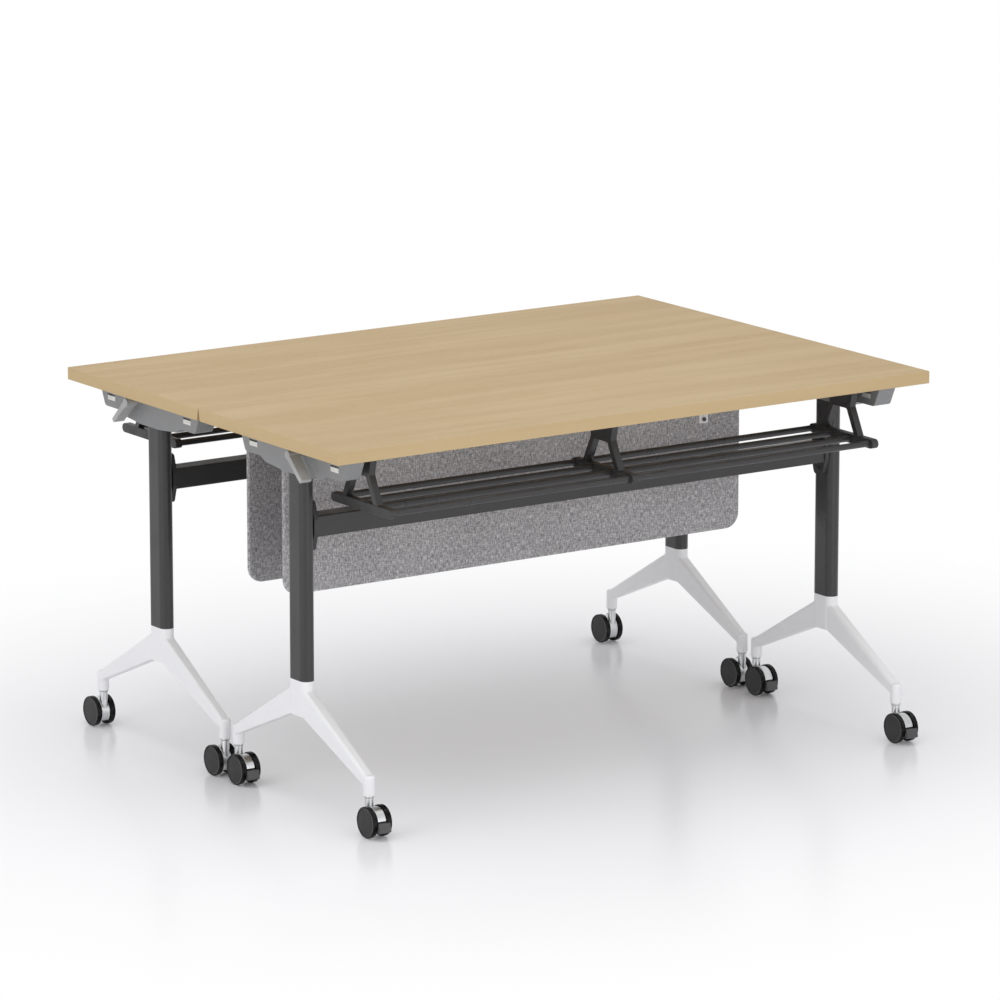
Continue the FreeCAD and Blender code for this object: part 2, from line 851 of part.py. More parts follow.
def make_shelf_ends(label, turned):
    """Flat-oval cross pieces that tie the rails together."""
    members = []
    half = "((shelf_end_back - shelf_end_front) / 2)"
    for middle in shelf_piece_x():
        body = new_body(f"{label}_{len(members)}")
        add(
            body,
            "YZ_Plane",
            f"{middle} - shelf_end_width / 2",
            f"{middle} + shelf_end_width / 2",
            stadium(
                behind_edge(f"shelf_end_front + {half}"),
                RAIL_Z,
                f"{half} - shelf_end_radius",
                "shelf_end_radius",
                False,
            ),
        )
        soften(body, "shelf_end_round", lambda edge: near(edge.BoundBox.XLength, 0))
        members.append(body)
    keep_group(members, label, turned)


def make_hangers(label, turned):
    """A-shaped brackets with a flange to the board, standing on the shelf's cross pieces."""
    members = []
    centre = behind_edge("hanger_setback")
    foot_z = f"{RAIL_Z} + shelf_end_radius"
    outer = ("hanger_half_foot", foot_z), ("hanger_half_waist", WAIST_Z)
    arch = ("hanger_half_arch", ARCH_Z), ("hanger_half_arch_foot", foot_z)
    right = (*outer, ("hanger_half_top", UNDERSIDE))
    points = [(f"{centre} + {half}", height) for half, height in right]
    points += [(f"{centre} - {half}", height) for half, height in right[::-1]]
    points += [(f"{centre} - {half}", height) for half, height in arch[::-1]]
    points += [(f"{centre} + {half}", height) for half, height in arch]
    for middle in shelf_piece_x():
        body = new_body(f"{label}_{len(members)}")
        low = f"{middle} - hanger_width / 2"
        high = f"{middle} + hanger_width / 2"
        add(body, "YZ_Plane", low, high, polygon(points))

        def bend(edge):
            low, high = value(f"{foot_z} + hanger_round"), value(f"{UNDERSIDE} - hanger_round")
            return runs_along(edge, "x") and low < edge.BoundBox.Center.z < high

        soften(body, "hanger_round", bend)
        add(
            body,
            "YZ_Plane",
            f"{high} - hanger_width / 2",
            f"{high} + flange_width",
            rectangle(
                f"{centre} - hanger_half_top",
                f"{centre} + hanger_half_top",
                f"{UNDERSIDE} - flange_thickness",
                UNDERSIDE,
            ),
        )
        members.append(body)
    keep_group(members, label, turned)


def make_fasteners(label, turned):
    """Pivot pins, and the screws that hold the hangers and the hinge leaves to the board."""
    members = []

    def pin(x_low, x_high, across, up, radius):
        body = new_body(f"{label}_{len(members)}")
        add(body, "YZ_Plane", x_low, x_high, circle(across, up, radius))
        members.append(body)

    def screw(across, along, top):
        body = new_body(f"{label}_{len(members)}")
        add(body, "XY_Plane", f"{top} - screw_height", top, circle(across, along, "screw_radius"))
        members.append(body)

    for sign in "-+":
        middle = side_middle(sign, "leg_inset")
        low = f"{middle} - bracket_width / 2"
        pin(low, f"{low} + bracket_width", PIVOT_Y, PIVOT_Z, "pin_radius")
    for middle in shelf_piece_x():
        for way in "-+":
            screw(
                f"{middle} + hanger_width / 2 + flange_width / 2",
                f"{behind_edge('hanger_setback')} {way} screw_spread",
                f"{UNDERSIDE} - flange_thickness",
            )
    for sign in "-+":
        screw(
            f"{side_middle(sign, 'hinge_inset')} + strap_width / 2 + moving_gap + leaf_ear + leaf_flange / 2",
            PANEL_Y,
            f"{UNDERSIDE} - leaf_thickness",
        )
    keep_group(members, label, turned)


def make_panel(label, turned):
    """The modesty panel, with large round corners at its foot."""
    body = new_body(label)
    add(
        body,
        "YZ_Plane",
        "-top_length / 2 + panel_inset",
        "top_length / 2 - panel_inset",
        rectangle(
            f"{PANEL_Y} - panel_thickness / 2",
            f"{PANEL_Y} + panel_thickness / 2",
            PANEL_BOTTOM,
            PANEL_TOP,
        ),
    )
    soften(
        body, "panel_corner", lambda edge: runs_along(edge, "y") and at(edge, z=PANEL_BOTTOM)
    )
    soften(body, "panel_edge_round", lambda edge: not runs_along(edge, "y"))
    keep(body, label, turned)


def make_straps(label, turned):
    """Straps screwed to the panel's face, each with a knuckle round the hinge pin."""
    members = []
    face = f"{PANEL_Y} - panel_thickness / 2"
    for sign in "-+":
        middle = side_middle(sign, "hinge_inset")
        low = f"{middle} - strap_width / 2"
        high = f"{middle} + strap_width / 2"
        strap = new_body(f"{label}_{len(members)}")
        plate = polygon(
            (
                (f"{face} - strap_thickness", STRAP_BOTTOM),
                (face, STRAP_BOTTOM),
                (face, PANEL_TOP),
                (f"{PANEL_Y} - hinge_pin_radius - running_clearance", f"{PANEL_TOP} + moving_gap"),
                (f"{PANEL_Y} - hinge_pin_radius - running_clearance", f"{HINGE_Z} + hinge_pin_radius"),
                (f"{face} - strap_thickness", HINGE_Z),
            )
        )
        add(strap, "YZ_Plane", low, high, plate)
        add(strap, "YZ_Plane", low, high, circle(PANEL_Y, HINGE_Z, "knuckle_radius"))
        cut(
            strap,
            "YZ_Plane",
            f"{low} - cut_overrun",
            f"{high} + cut_overrun",
            circle(PANEL_Y, HINGE_Z, "hinge_pin_radius + running_clearance"),
        )
        members.append(strap)
        for height in (f"{STRAP_BOTTOM} + strap_screw_margin", f"{PANEL_TOP} - 2 * strap_screw_margin"):
            screw = new_body(f"{label}_{len(members)}")
            add(
                screw,
                "XZ_Plane",
                f"-({face} - strap_thickness)",
                f"-({face} - strap_thickness) + screw_height",
                circle(middle, height, "screw_radius"),
            )
            members.append(screw)
    keep_group(members, label, turned)


def make_leaves(label, turned):
    """Fixed hinge leaves under the board, each with two ears, a pin and a flange to one side."""
    members = []
    for sign in "-+":
        middle = side_middle(sign, "hinge_inset")
        inner = "(strap_width / 2 + moving_gap)"
        outer = f"({inner} + leaf_ear)"
        body = new_body(f"{label}_{len(members)}")
        add(
            body,
            "XY_Plane",
            f"{UNDERSIDE} - leaf_thickness",
            UNDERSIDE,
            rectangle(
                f"{middle} - {outer}",
                f"{middle} + {outer} + leaf_flange",
                f"{PANEL_Y} - leaf_half_depth",
                f"{PANEL_Y} + leaf_half_depth",
            ),
        )
        for low, high in (
            (f"{middle} - {outer}", f"{middle} - {inner}"),
            (f"{middle} + {inner}", f"{middle} + {outer}"),
        ):
            ear = rectangle(
                f"{PANEL_Y} - knuckle_radius",
                f"{PANEL_Y} + knuckle_radius",
                HINGE_Z,
                f"{UNDERSIDE} - leaf_thickness / 2",
            )
            add(body, "YZ_Plane", low, high, ear)
            add(body, "YZ_Plane", low, high, circle(PANEL_Y, HINGE_Z, "knuckle_radius"))
        add(
            body,
            "YZ_Plane",
            f"{middle} - {outer}",
            f"{middle} + {outer}",
            circle(PANEL_Y, HINGE_Z, "hinge_pin_radius"),
        )
        members.append(body)
    keep_group(members, label, turned)


WHEEL_Y = "-castor_trail"
PEDAL_Y = "-(castor_trail + hub_radius + pedal_boss_radius + moving_gap)"


def keep_castor(body, label, turned, sign, way):
    """Names a castor's piece and puts it under its boss; castors are drawn with the stem at the origin."""
    body.Label = label
    half = "-1" if turned else "1"
    bind(body, "Placement.Base.x", f"{half} * ({side_middle(sign, 'leg_inset')})")
    bind(body, "Placement.Base.y", f"{half} * ({LEG_Y} {way} {FOOT_REACH})")
    if turned:
        body.Placement = FreeCAD.Placement(
            body.Placement.Base, FreeCAD.Rotation(FreeCAD.Vector(0, 0, 1), HALF_TURN)
        )
    nodes.append(body)


def make_yoke(label, turned, sign, way):
    """The castor's hood between the wheels, with its stem, and two ears and a pin for the brake pedal."""
    body = new_body(label)
    back = "-(castor_trail + hub_radius)"
    hood_low = "-hood_width / 2"
    hood_high = "hood_width / 2"
    add(body, "YZ_Plane", hood_low, hood_high, circle(WHEEL_Y, "wheel_radius", "hood_radius"))
    soften(body, "hood_round", lambda edge: near(edge.BoundBox.XLength, 0))
    reach = "(hood_radius + cut_overrun)"
    below = rectangle(
        f"{WHEEL_Y} - {reach}",
        f"{WHEEL_Y} + {reach}",
        f"wheel_radius - {reach}",
        "hood_floor",
    )
    pedal_room = rectangle(
        f"{WHEEL_Y} - {reach}",
        back,
        "hood_floor - cut_overrun",
        "pedal_height + pedal_boss_radius + moving_gap",
    )
    for outline in (below, pedal_room):
        cut(body, "YZ_Plane", f"{hood_low} - cut_overrun", f"{hood_high} + cut_overrun", outline)
    ring_top = "boss_bottom - fitting_gap"
    ring_bottom = f"{ring_top} - stem_ring_height"
    add(body, "XY_Plane", "wheel_radius + axle_radius", ring_bottom, circle("0", "0", "stem_radius"))
    add(body, "XY_Plane", ring_bottom, ring_top, circle("0", "0", "stem_ring_radius"))
    add(body, "XY_Plane", ring_top, "boss_bottom + stem_pin_height", circle("0", "0", "stem_pin_radius"))
    for low, high in (
        (hood_low, f"{hood_low} + pedal_ear"),
        (f"{hood_high} - pedal_ear", hood_high),
    ):
        arm = rectangle(
            PEDAL_Y,
            f"{back} + cut_overrun",
            "pedal_height - pedal_boss_radius",
            "pedal_height + pedal_boss_radius",
        )
        add(body, "YZ_Plane", low, high, arm)
        add(body, "YZ_Plane", low, high, circle(PEDAL_Y, "pedal_height", "pedal_boss_radius"))
    add(body, "YZ_Plane", hood_low, hood_high, circle(PEDAL_Y, "pedal_height", "pedal_pin_radius"))
    cut(
        body,
        "YZ_Plane",
        f"{hood_low} - cut_overrun",
        f"{hood_high} + cut_overrun",
        circle(WHEEL_Y, "wheel_radius", "axle_radius + running_clearance"),
    )
    keep_castor(body, label, turned, sign, way)


def make_wheels(label, turned, sign, way):
    """Twin wheels on one axle, each with its outer face set back a little inside the tread."""
    body = new_body(label)
    add(
        body,
        "YZ_Plane",
        "-castor_width / 2",
        "-castor_width / 2 + wheel_width",
        circle(WHEEL_Y, "wheel_radius", "wheel_radius"),
    )
    add(
        body,
        "YZ_Plane",
        "-castor_width / 2 + wheel_width / 2",
        "castor_width / 2 - wheel_width / 2",
        circle(WHEEL_Y, "wheel_radius", "axle_radius"),
    )
    add(
        body,
        "YZ_Plane",
        "castor_width / 2 - wheel_width",
        "castor_width / 2",
        circle(WHEEL_Y, "wheel_radius", "wheel_radius"),
    )
    soften(body, "wheel_round", lambda edge: near(edge.BoundBox.ZLength, value("2 * wheel_radius")))
    for low, high in (
        ("-castor_width / 2", "-castor_width / 2 + wheel_face_depth"),
        ("castor_width / 2 - wheel_face_depth", "castor_width / 2"),
    ):
        cut(body, "YZ_Plane", low, high, circle(WHEEL_Y, "wheel_radius", "wheel_face_radius"))
    keep_castor(body, label, turned, sign, way)


def make_pedal(label, turned, sign, way):
    """The brake pedal: a boss between the yoke's ears, an arm between the wheels and a wide lip that
    stays outside both treads."""
    body = new_body(label)
    narrow = "(hood_width / 2 - pedal_ear - fitting_gap)"
    broad = "(hood_width / 2 - moving_gap)"
    under = "pedal_height - pedal_thickness / 2"
    over = "pedal_height + pedal_thickness / 2"
    lip_y = "-(castor_trail + wheel_radius + pedal_rim_gap)"
    clear_y = f"{PEDAL_Y} - pedal_boss_radius - 2 * moving_gap"
    add(body, "YZ_Plane", f"-{narrow}", narrow, circle(PEDAL_Y, "pedal_height", "pedal_boss_radius"))
    add(body, "YZ_Plane", f"-{narrow}", narrow, rectangle(lip_y, PEDAL_Y, under, over))
    add(body, "YZ_Plane", f"-{broad}", broad, rectangle(lip_y, clear_y, under, over))
    lip = polygon(
        (
            (lip_y, over),
            (f"{lip_y} - pedal_lip_top", over),
            (f"{lip_y} - pedal_lip_length", "pedal_lip_bottom + pedal_lip_top"),
            (f"{lip_y} - pedal_lip_length + pedal_rim_gap", "pedal_lip_bottom"),
            (f"{lip_y} + pedal_rim_gap", "pedal_lip_bottom"),
            (lip_y, under),
        )
    )
    add(body, "YZ_Plane", "-pedal_lip_width / 2", "pedal_lip_width / 2", lip)
    cut(
        body,
        "YZ_Plane",
        f"-{narrow} - cut_overrun",
        f"{narrow} + cut_overrun",
        circle(PEDAL_Y, "pedal_height", "pedal_pin_radius + running_clearance"),
    )
    keep_castor(body, label, turned, sign, way)


for table, turned in (("front", False), ("rear", True)):
    make_top(f"{table}_top", turned)
    make_inserts(f"{table}_inserts", turned)
    make_beam(f"{table}_beam", turned)
    make_rails(f"{table}_shelf_rails", turned)
    make_shelf_ends(f"{table}_shelf_ends", turned)
    make_hangers(f"{table}_hangers", turned)
    make_fasteners(f"{table}_fasteners", turned)
    make_panel(f"{table}_panel", turned)
    make_straps(f"{table}_panel_straps", turned)
    make_leaves(f"{table}_panel_leaves", turned)
    for side, sign in (("left", "-"), ("right", "+")):
        make_bracket(f"{table}_bracket_{side}", turned, sign)
        make_lever(f"{table}_lever_{side}", turned, sign)
        make_leg(f"{table}_leg_{side}", turned, sign)
        make_foot(f"{table}_foot_{side}", turned, sign)
        for end, way in (("user", "-"), ("seam", "+")):
            castor = f"{table}_castor_{side}_{end}"
            make_yoke(f"{castor}_yoke", turned, sign, way)
            make_wheels(f"{castor}_wheels", turned, sign, way)
            make_pedal(f"{castor}_pedal", turned, sign, way)

document.recompute()
for item in document.Objects:
    if "Invalid" in item.State or "Error" in item.State:
        raise RuntimeError(f"{item.Label} could not be computed")
    if item.TypeId == "PartDesign::Pocket" and not item.Shape.Volume < item.BaseFeature.Shape.Volume:
        raise RuntimeError(f"{item.Label} takes nothing away")
for node in nodes:
    if node.Shape.isNull() or not node.Shape.isValid():
        raise RuntimeError(f"{node.Label} has no valid shape")

os.makedirs("parts", exist_ok=True)
for node in nodes:
    node.Shape.exportStep(f"parts/{node.Label}.step")
    print(node.Label, len(node.Shape.Solids), round(node.Shape.Volume))
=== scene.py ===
"""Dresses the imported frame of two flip-top tables: oak boards, coated steel, cast feet, cloth and castors."""

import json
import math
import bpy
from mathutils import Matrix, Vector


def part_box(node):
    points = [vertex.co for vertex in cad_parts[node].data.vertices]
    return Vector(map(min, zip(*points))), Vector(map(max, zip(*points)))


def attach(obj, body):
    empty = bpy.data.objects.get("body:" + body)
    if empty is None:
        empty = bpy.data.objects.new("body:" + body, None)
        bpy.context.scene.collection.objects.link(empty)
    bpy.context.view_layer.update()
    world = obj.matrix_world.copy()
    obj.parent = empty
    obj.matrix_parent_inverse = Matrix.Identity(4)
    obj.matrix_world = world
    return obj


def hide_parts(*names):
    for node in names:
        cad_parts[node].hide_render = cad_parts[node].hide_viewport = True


bl_info = {
    "name": "Flip-Top Table Pair",
    "version": (1, 0, 0),
    "blender": (4, 5, 0),
    "location": "View3D > Sidebar > Tables",
    "description": "Finishes for two flip-top tables on castors, with cloth panels and a pale studio",
    "category": "Object",
}

import bpy
import numpy as np

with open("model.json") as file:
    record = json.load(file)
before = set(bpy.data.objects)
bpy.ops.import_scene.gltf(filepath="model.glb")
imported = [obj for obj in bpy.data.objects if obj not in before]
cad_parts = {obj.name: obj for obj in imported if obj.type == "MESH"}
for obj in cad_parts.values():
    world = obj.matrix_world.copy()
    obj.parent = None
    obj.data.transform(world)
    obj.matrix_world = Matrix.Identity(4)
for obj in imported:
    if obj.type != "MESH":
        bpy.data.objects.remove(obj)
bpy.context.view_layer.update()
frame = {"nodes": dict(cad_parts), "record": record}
NODES = frame["nodes"]
TABLES = ("front", "rear")
SIDES = ("left", "right")
CASTORS = [f"{table}_castor_{side}_{end}" for table in TABLES for side in SIDES for end in ("user", "seam")]
SETTINGS = ("flip_table_sizes", "flip_table_colours", "flip_table_stage")

# Sizes of the frame's parts that small pieces sit on: the straps, their screws, the axles and the stems
STRAP_WIDTH = 0.0215
SCREW_MARGIN = 0.008
SCREW_HEIGHT = 0.0025
AXLE_RADIUS = 0.004
STEM_RADIUS = 0.00825
STEM_SHOULDER = 0.0747

# A wheel's face lies this far inside the tread's radius, and this far behind the tyre's side
FACE_MARGIN = 0.0022
FACE_SET_BACK = 0.0005

# Radii of two rings on a wheel's flat inner side
HUB_OUTER = 0.02
HUB_INNER = 0.012

# Points along a round edge, a panel's round corner, its side and its lower edge, and steps of each full turn
ROUND_POINTS = 7
CORNER_POINTS = 12
SIDE_POINTS = 14
EDGE_POINTS = 40
SCREW_STEPS = 24
SEAL_STEPS = 48
WHEEL_STEPS = 72

# Rings of a panel's flat face, inside its rim. None lies further in than the points of an edge lie apart, or
# it would cross itself at the square corners
FACE_INSETS = (0.020, 0.012, 0.006)

# The second panel's cloth is cut this far along the weave
CLOTH_SHIFT = 3

# The floor's half width, how far it lies under the wheels, and the shape and start of the oval of its fade
FLOOR_REACH = 40
FLOOR_DROP = 0.0005
FADE_SHAPE = (1.0, 1.15, 0.0)
FADE_START = 0.6

# Brightness of the surround in reflections
GLOSSY_LEVEL = 0.85

# The camera's film in millimetres, and how far it sees in metres
FILM_WIDTH = 36
VIEW_DEPTH = 200

# Tones, as linear light, that a coat's and a plastic's worn edges are drawn towards, and how far, and dust
BARE_TONE = 0.62
BARE_SHARE = 0.28
PALE_TONE = 0.8
PALE_SHARE = 0.16
DUST_COLOUR = (0.55, 0.54, 0.52, 1.0)


def colour_setting(name, description, default):
    """A colour that the user picks as it shows on a screen."""
    return bpy.props.FloatVectorProperty(
        name=name, description=description, default=default, size=3, min=0, max=1, subtype="COLOR_GAMMA"
    )


def length_setting(name, description, default):
    """A length in metres."""
    return bpy.props.FloatProperty(
        name=name, description=description, default=default, min=0, subtype="DISTANCE", unit="LENGTH"
    )


def share_setting(name, description, default):
    """A plain number from 0 to 1."""
    return bpy.props.FloatProperty(
        name=name, description=description, default=default, min=0, max=1, subtype="FACTOR"
    )


def power_setting(name, description, default):
    """The power of a lamp, in watts."""
    return bpy.props.FloatProperty(
        name=name, description=description, default=default, min=0, subtype="POWER"
    )


def angle_setting(name, description, degrees):
    """An angle, given in degrees."""
    return bpy.props.FloatProperty(
        name=name, description=description, default=math.radians(degrees), subtype="ANGLE", unit="ROTATION"
    )


class TableSizes(bpy.types.PropertyGroup):
    """Sizes of the pieces made here, and of the patterns in their finishes."""

    weave_pitch: length_setting("Weave pitch", "Distance between two yarns of the panel cloth", 0.0013)
    panel_rim: length_setting("Panel rim", "Radius of the cloth where it turns over the edge", 0.0036)
    panel_corner: length_setting("Panel corner", "Radius of the panel's lower corners", 0.032)
    panel_seam: length_setting("Panel seam", "Depth of the seam that runs along the panel's edge", 0.0005)
    tread_round: length_setting("Tread round", "Radius of a wheel's shoulders", 0.0015)
    wheel_crown: length_setting("Wheel crown", "How far a wheel's outer face bulges at its middle", 0.0004)
    grain_length: length_setting("Grain length", "Length of one band of the oak's grain", 0.9)
    grain_width: length_setting("Grain width", "Width of one band of the oak's grain", 0.055)
    screw_head: length_setting("Screw head", "Radius of the heads of the straps' socket screws", 0.00425)
    screw_socket: length_setting("Screw socket", "Half the width of a screw's socket, flat to flat", 0.0021)
    screw_proud: length_setting("Screw proud", "How far a new head stands over the plain one", 0.0011)
    seal_proud: length_setting("Seal proud", "How far a castor's dust seal stands out", 0.0007)
    seal_height: length_setting("Seal height", "Height of a castor's dust seal", 0.0013)
    edge_wear: length_setting("Edge wear", "Width of the lighter line along a coated edge", 0.0009)


class TableColours(bpy.types.PropertyGroup):
    """Colours of the finishes, as they show on a screen."""

    oak_light: colour_setting("Light oak", "Lighter bands of the boards", (0.764, 0.678, 0.541))
    oak_dark: colour_setting("Dark oak", "Darker bands of the boards", (0.724, 0.634, 0.497))
    oak_pore: colour_setting("Oak pores", "Short dark dashes in the grain", (0.600, 0.490, 0.335))
    edge_band: colour_setting("Edge band", "Tint of the strips round the boards", (0.780, 0.686, 0.515))
    frame_black: colour_setting("Frame black", "Coat of legs, beams and shelves", (0.190, 0.190, 0.195))
    foot_white: colour_setting("Foot white", "Gloss coat of the cast feet", (0.925, 0.925, 0.934))
    bracket_grey: colour_setting("Bracket grey", "Coat of the hinge brackets", (0.520, 0.525, 0.530))
    lever_grey: colour_setting("Lever grey", "Moulded release levers", (0.665, 0.668, 0.665))
    insert_white: colour_setting("Insert white", "Moulded inserts in the brackets", (0.900, 0.905, 0.890))
    steel: colour_setting("Steel", "Pins, screws and axles", (0.760, 0.755, 0.745))
    cloth_light: colour_setting("Light yarn", "Lighter yarns of the panels", (0.880, 0.873, 0.882))
    cloth_dark: colour_setting("Dark yarn", "Darker yarns of the panels", (0.400, 0.395, 0.406))
    screw_black: colour_setting("Screw black", "Blackened socket screws", (0.350, 0.350, 0.355))
    hinge_grey: colour_setting("Hinge grey", "Straps and leaves of the panel hinges", (0.950, 0.950, 0.955))
    chrome: colour_setting("Chrome", "Plated hoods and stems of the castors", (0.840, 0.845, 0.850))
    tread_black: colour_setting("Tread black", "Tyres of the castors", (0.036, 0.036, 0.038))
    wheel_grey: colour_setting("Wheel grey", "Outer faces of the wheels", (0.160, 0.160, 0.164))
    pedal_grey: colour_setting("Pedal grey", "Moulded brake pedals", (0.300, 0.300, 0.305))


class StageSettings(bpy.types.PropertyGroup):
    """The floor, the lamps and the camera."""

    floor_tone: colour_setting("Floor", "Floor under the tables", (0.972, 0.972, 0.988))
    floor_reach: length_setting("Floor reach", "Distance at which the floor has faded to white", 2.1)
    surround: share_setting("Surround", "Brightness of the light from all round", 0.68)
    overhead: power_setting("Overhead lamp", "Power of the lamp above", 39)
    front: power_setting("Front lamp", "Power of the lamp in front", 44)
    side: power_setting("Side lamp", "Power of the lamp at the left", 34)
    camera_place: bpy.props.FloatVectorProperty(
        name="Camera place",
        description="Where the camera stands",
        default=(-6.659, -9.813, 3.100),
        size=3,
        subtype="XYZ_LENGTH",
        unit="LENGTH",
    )
    camera_turn: angle_setting("Camera turn", "Turn of the view from the depth of the tables", 34.181)
    camera_tilt: angle_setting("Camera tilt", "How far the camera looks down", 12.448)
    focal_length: bpy.props.FloatProperty(
        name="Focal length",
        description="Lens, for a film 36 mm wide",
        default=218.0,
        min=1,
        subtype="DISTANCE_CAMERA",
    )


def sizes():
    """The pieces' sizes, as the user has set them."""
    return bpy.context.scene.flip_table_sizes


def linear(colour):
    """A screen colour as the four numbers that a shader's socket takes: each part to the power 2.4, and in
    plain proportion near black."""
    shown = np.array(colour[:], float)
    return (*np.where(shown <= 0.04045, shown / 12.92, ((shown + 0.055) / 1.055) ** 2.4), 1.0)


def picked(name):
    """One of the finish colours, ready for a socket."""
    return linear(getattr(bpy.context.scene.flip_table_colours, name))


# Node helpers


def node(tree, kind, values=None, **settings):
    """Adds a shader node, and fills or links its inputs by name or number."""
    made = tree.nodes.new("ShaderNode" + kind)
    for name, setting in settings.items():
        setattr(made, name, setting)
    for key, value in (values or {}).items():
        if isinstance(value, bpy.types.NodeSocket):
            tree.links.new(value, made.inputs[key])
        else:
            made.inputs[key].default_value = value
    return made


def maths(tree, operation, *values, clamp=False):
    """The result of one Math node."""
    return node(tree, "Math", dict(enumerate(values)), operation=operation, use_clamp=clamp).outputs[0]


def blend_colours(tree, factor, first, second):
    """The result of mixing two colours."""
    return node(tree, "Mix", {0: factor, 6: first, 7: second}, data_type="RGBA").outputs[2]


def ramp(tree, value, low, high, bottom=0.0, top=1.0):
    """A value stretched smoothly from one range to another."""
    spread = node(
        tree,
        "MapRange",
        {"Value": value, "From Min": low, "From Max": high, "To Min": bottom, "To Max": top},
        interpolation_type="SMOOTHSTEP",
    )
    return spread.outputs[0]


def scaled(tree, vector, scale, shift=(0, 0, 0)):
    """A vector with each part multiplied, and then shifted."""
    return node(tree, "Mapping", {"Vector": vector, "Scale": scale, "Location": shift}).outputs[0]


def noise(tree, vector, scale, detail=2.0, roughness=0.5, distortion=0.0):
    """A cloudy value between 0 and 1."""
    values = {"Vector": vector, "Scale": scale, "Detail": detail}
    values |= {"Roughness": roughness, "Distortion": distortion}
    return node(tree, "TexNoise", values).outputs[0]


GROUPS = {}


def group(name, inputs, outputs, fill):
    """A node group with named sockets, built the first time that it is asked for."""
    if name not in GROUPS:
        tree = bpy.data.node_groups.new(name, "ShaderNodeTree")
        for label, kind, default in inputs:
            socket = tree.interface.new_socket(label, in_out="INPUT", socket_type="NodeSocket" + kind)
            if default is not None:
                socket.default_value = default
        for label, kind in outputs:
            tree.interface.new_socket(label, in_out="OUTPUT", socket_type="NodeSocket" + kind)
        given = tree.nodes.new("NodeGroupInput").outputs
        results = fill(tree, given)
        taken = tree.nodes.new("NodeGroupOutput").inputs
        for label, result in results.items():
            tree.links.new(result, taken[label])
        GROUPS[name] = tree
    return GROUPS[name]


def use(tree, made, values):
    """Places a group in a material, and gives its outputs."""
    placed = tree.nodes.new("ShaderNodeGroup")
    placed.node_tree = made
    for key, value in values.items():
        if isinstance(value, bpy.types.NodeSocket):
            tree.links.new(value, placed.inputs[key])
        else:
            placed.inputs[key].default_value = value
    return placed.outputs


def worn_edges():
    """Mask of outer edges: where a normal taken round the edge leaves the face's own, broken up by clouds."""

    def fill(tree, given):
        rounded = node(tree, "Bevel", {"Radius": given["Width"]}, samples=4).outputs[0]
        flat = node(tree, "NewGeometry").outputs["Normal"]
        facing = node(tree, "VectorMath", {0: rounded, 1: flat}, operation="DOT_PRODUCT").outputs["Value"]
        edge = ramp(tree, facing, 0.985, 0.80)
        patchy = ramp(tree, noise(tree, given["Vector"], 60.0, 3.0), 0.35, 0.65)
        return {"Mask": maths(tree, "MULTIPLY", edge, patchy)}

    return group(
        "Worn edges", [("Vector", "Vector", None), ("Width", "Float", 0.001)], [("Mask", "Float")], fill
    )


def orange_peel():
    """Powder coat: fine pebbles under a slower swell, as a height, and the swell as a mottle for the tone."""

    def fill(tree, given):
        pebbles = noise(tree, given["Vector"], given["Scale"], 2.0, 0.6)
        swell = noise(tree, given["Vector"], maths(tree, "MULTIPLY", given["Scale"], 0.12), 2.0)
        height = maths(tree, "ADD", pebbles, maths(tree, "MULTIPLY", swell, 0.6))
        return {"Height": height, "Mottle": maths(tree, "SUBTRACT", swell, 0.5)}

    return group(
        "Orange peel",
        [("Vector", "Vector", None), ("Scale", "Float", 900.0)],
        [("Height", "Float"), ("Mottle", "Float")],
        fill,
    )


def handling():
    """Wide soft clouds, where hands and cloths have changed a surface's gloss."""

    def fill(tree, given):
        clouds = noise(tree, given["Vector"], given["Scale"], 4.0, 0.62, 0.4)
        return {"Mask": ramp(tree, clouds, 0.38, 0.66)}

    sockets = [("Vector", "Vector", None), ("Scale", "Float", 7.0)]
    return group("Handling", sockets, [("Mask", "Float")], fill)


def settled_dust():
    """A thin veil on what faces up, in patches."""

    def fill(tree, given):
        up = node(tree, "SeparateXYZ", {0: node(tree, "NewGeometry").outputs["Normal"]}).outputs[2]
        patches = ramp(tree, noise(tree, given["Vector"], 23.0, 3.0), 0.30, 0.75)
        return {"Mask": maths(tree, "MULTIPLY", ramp(tree, up, 0.55, 1.0), patches)}

    return group("Settled dust", [("Vector", "Vector", None)], [("Mask", "Float")], fill)


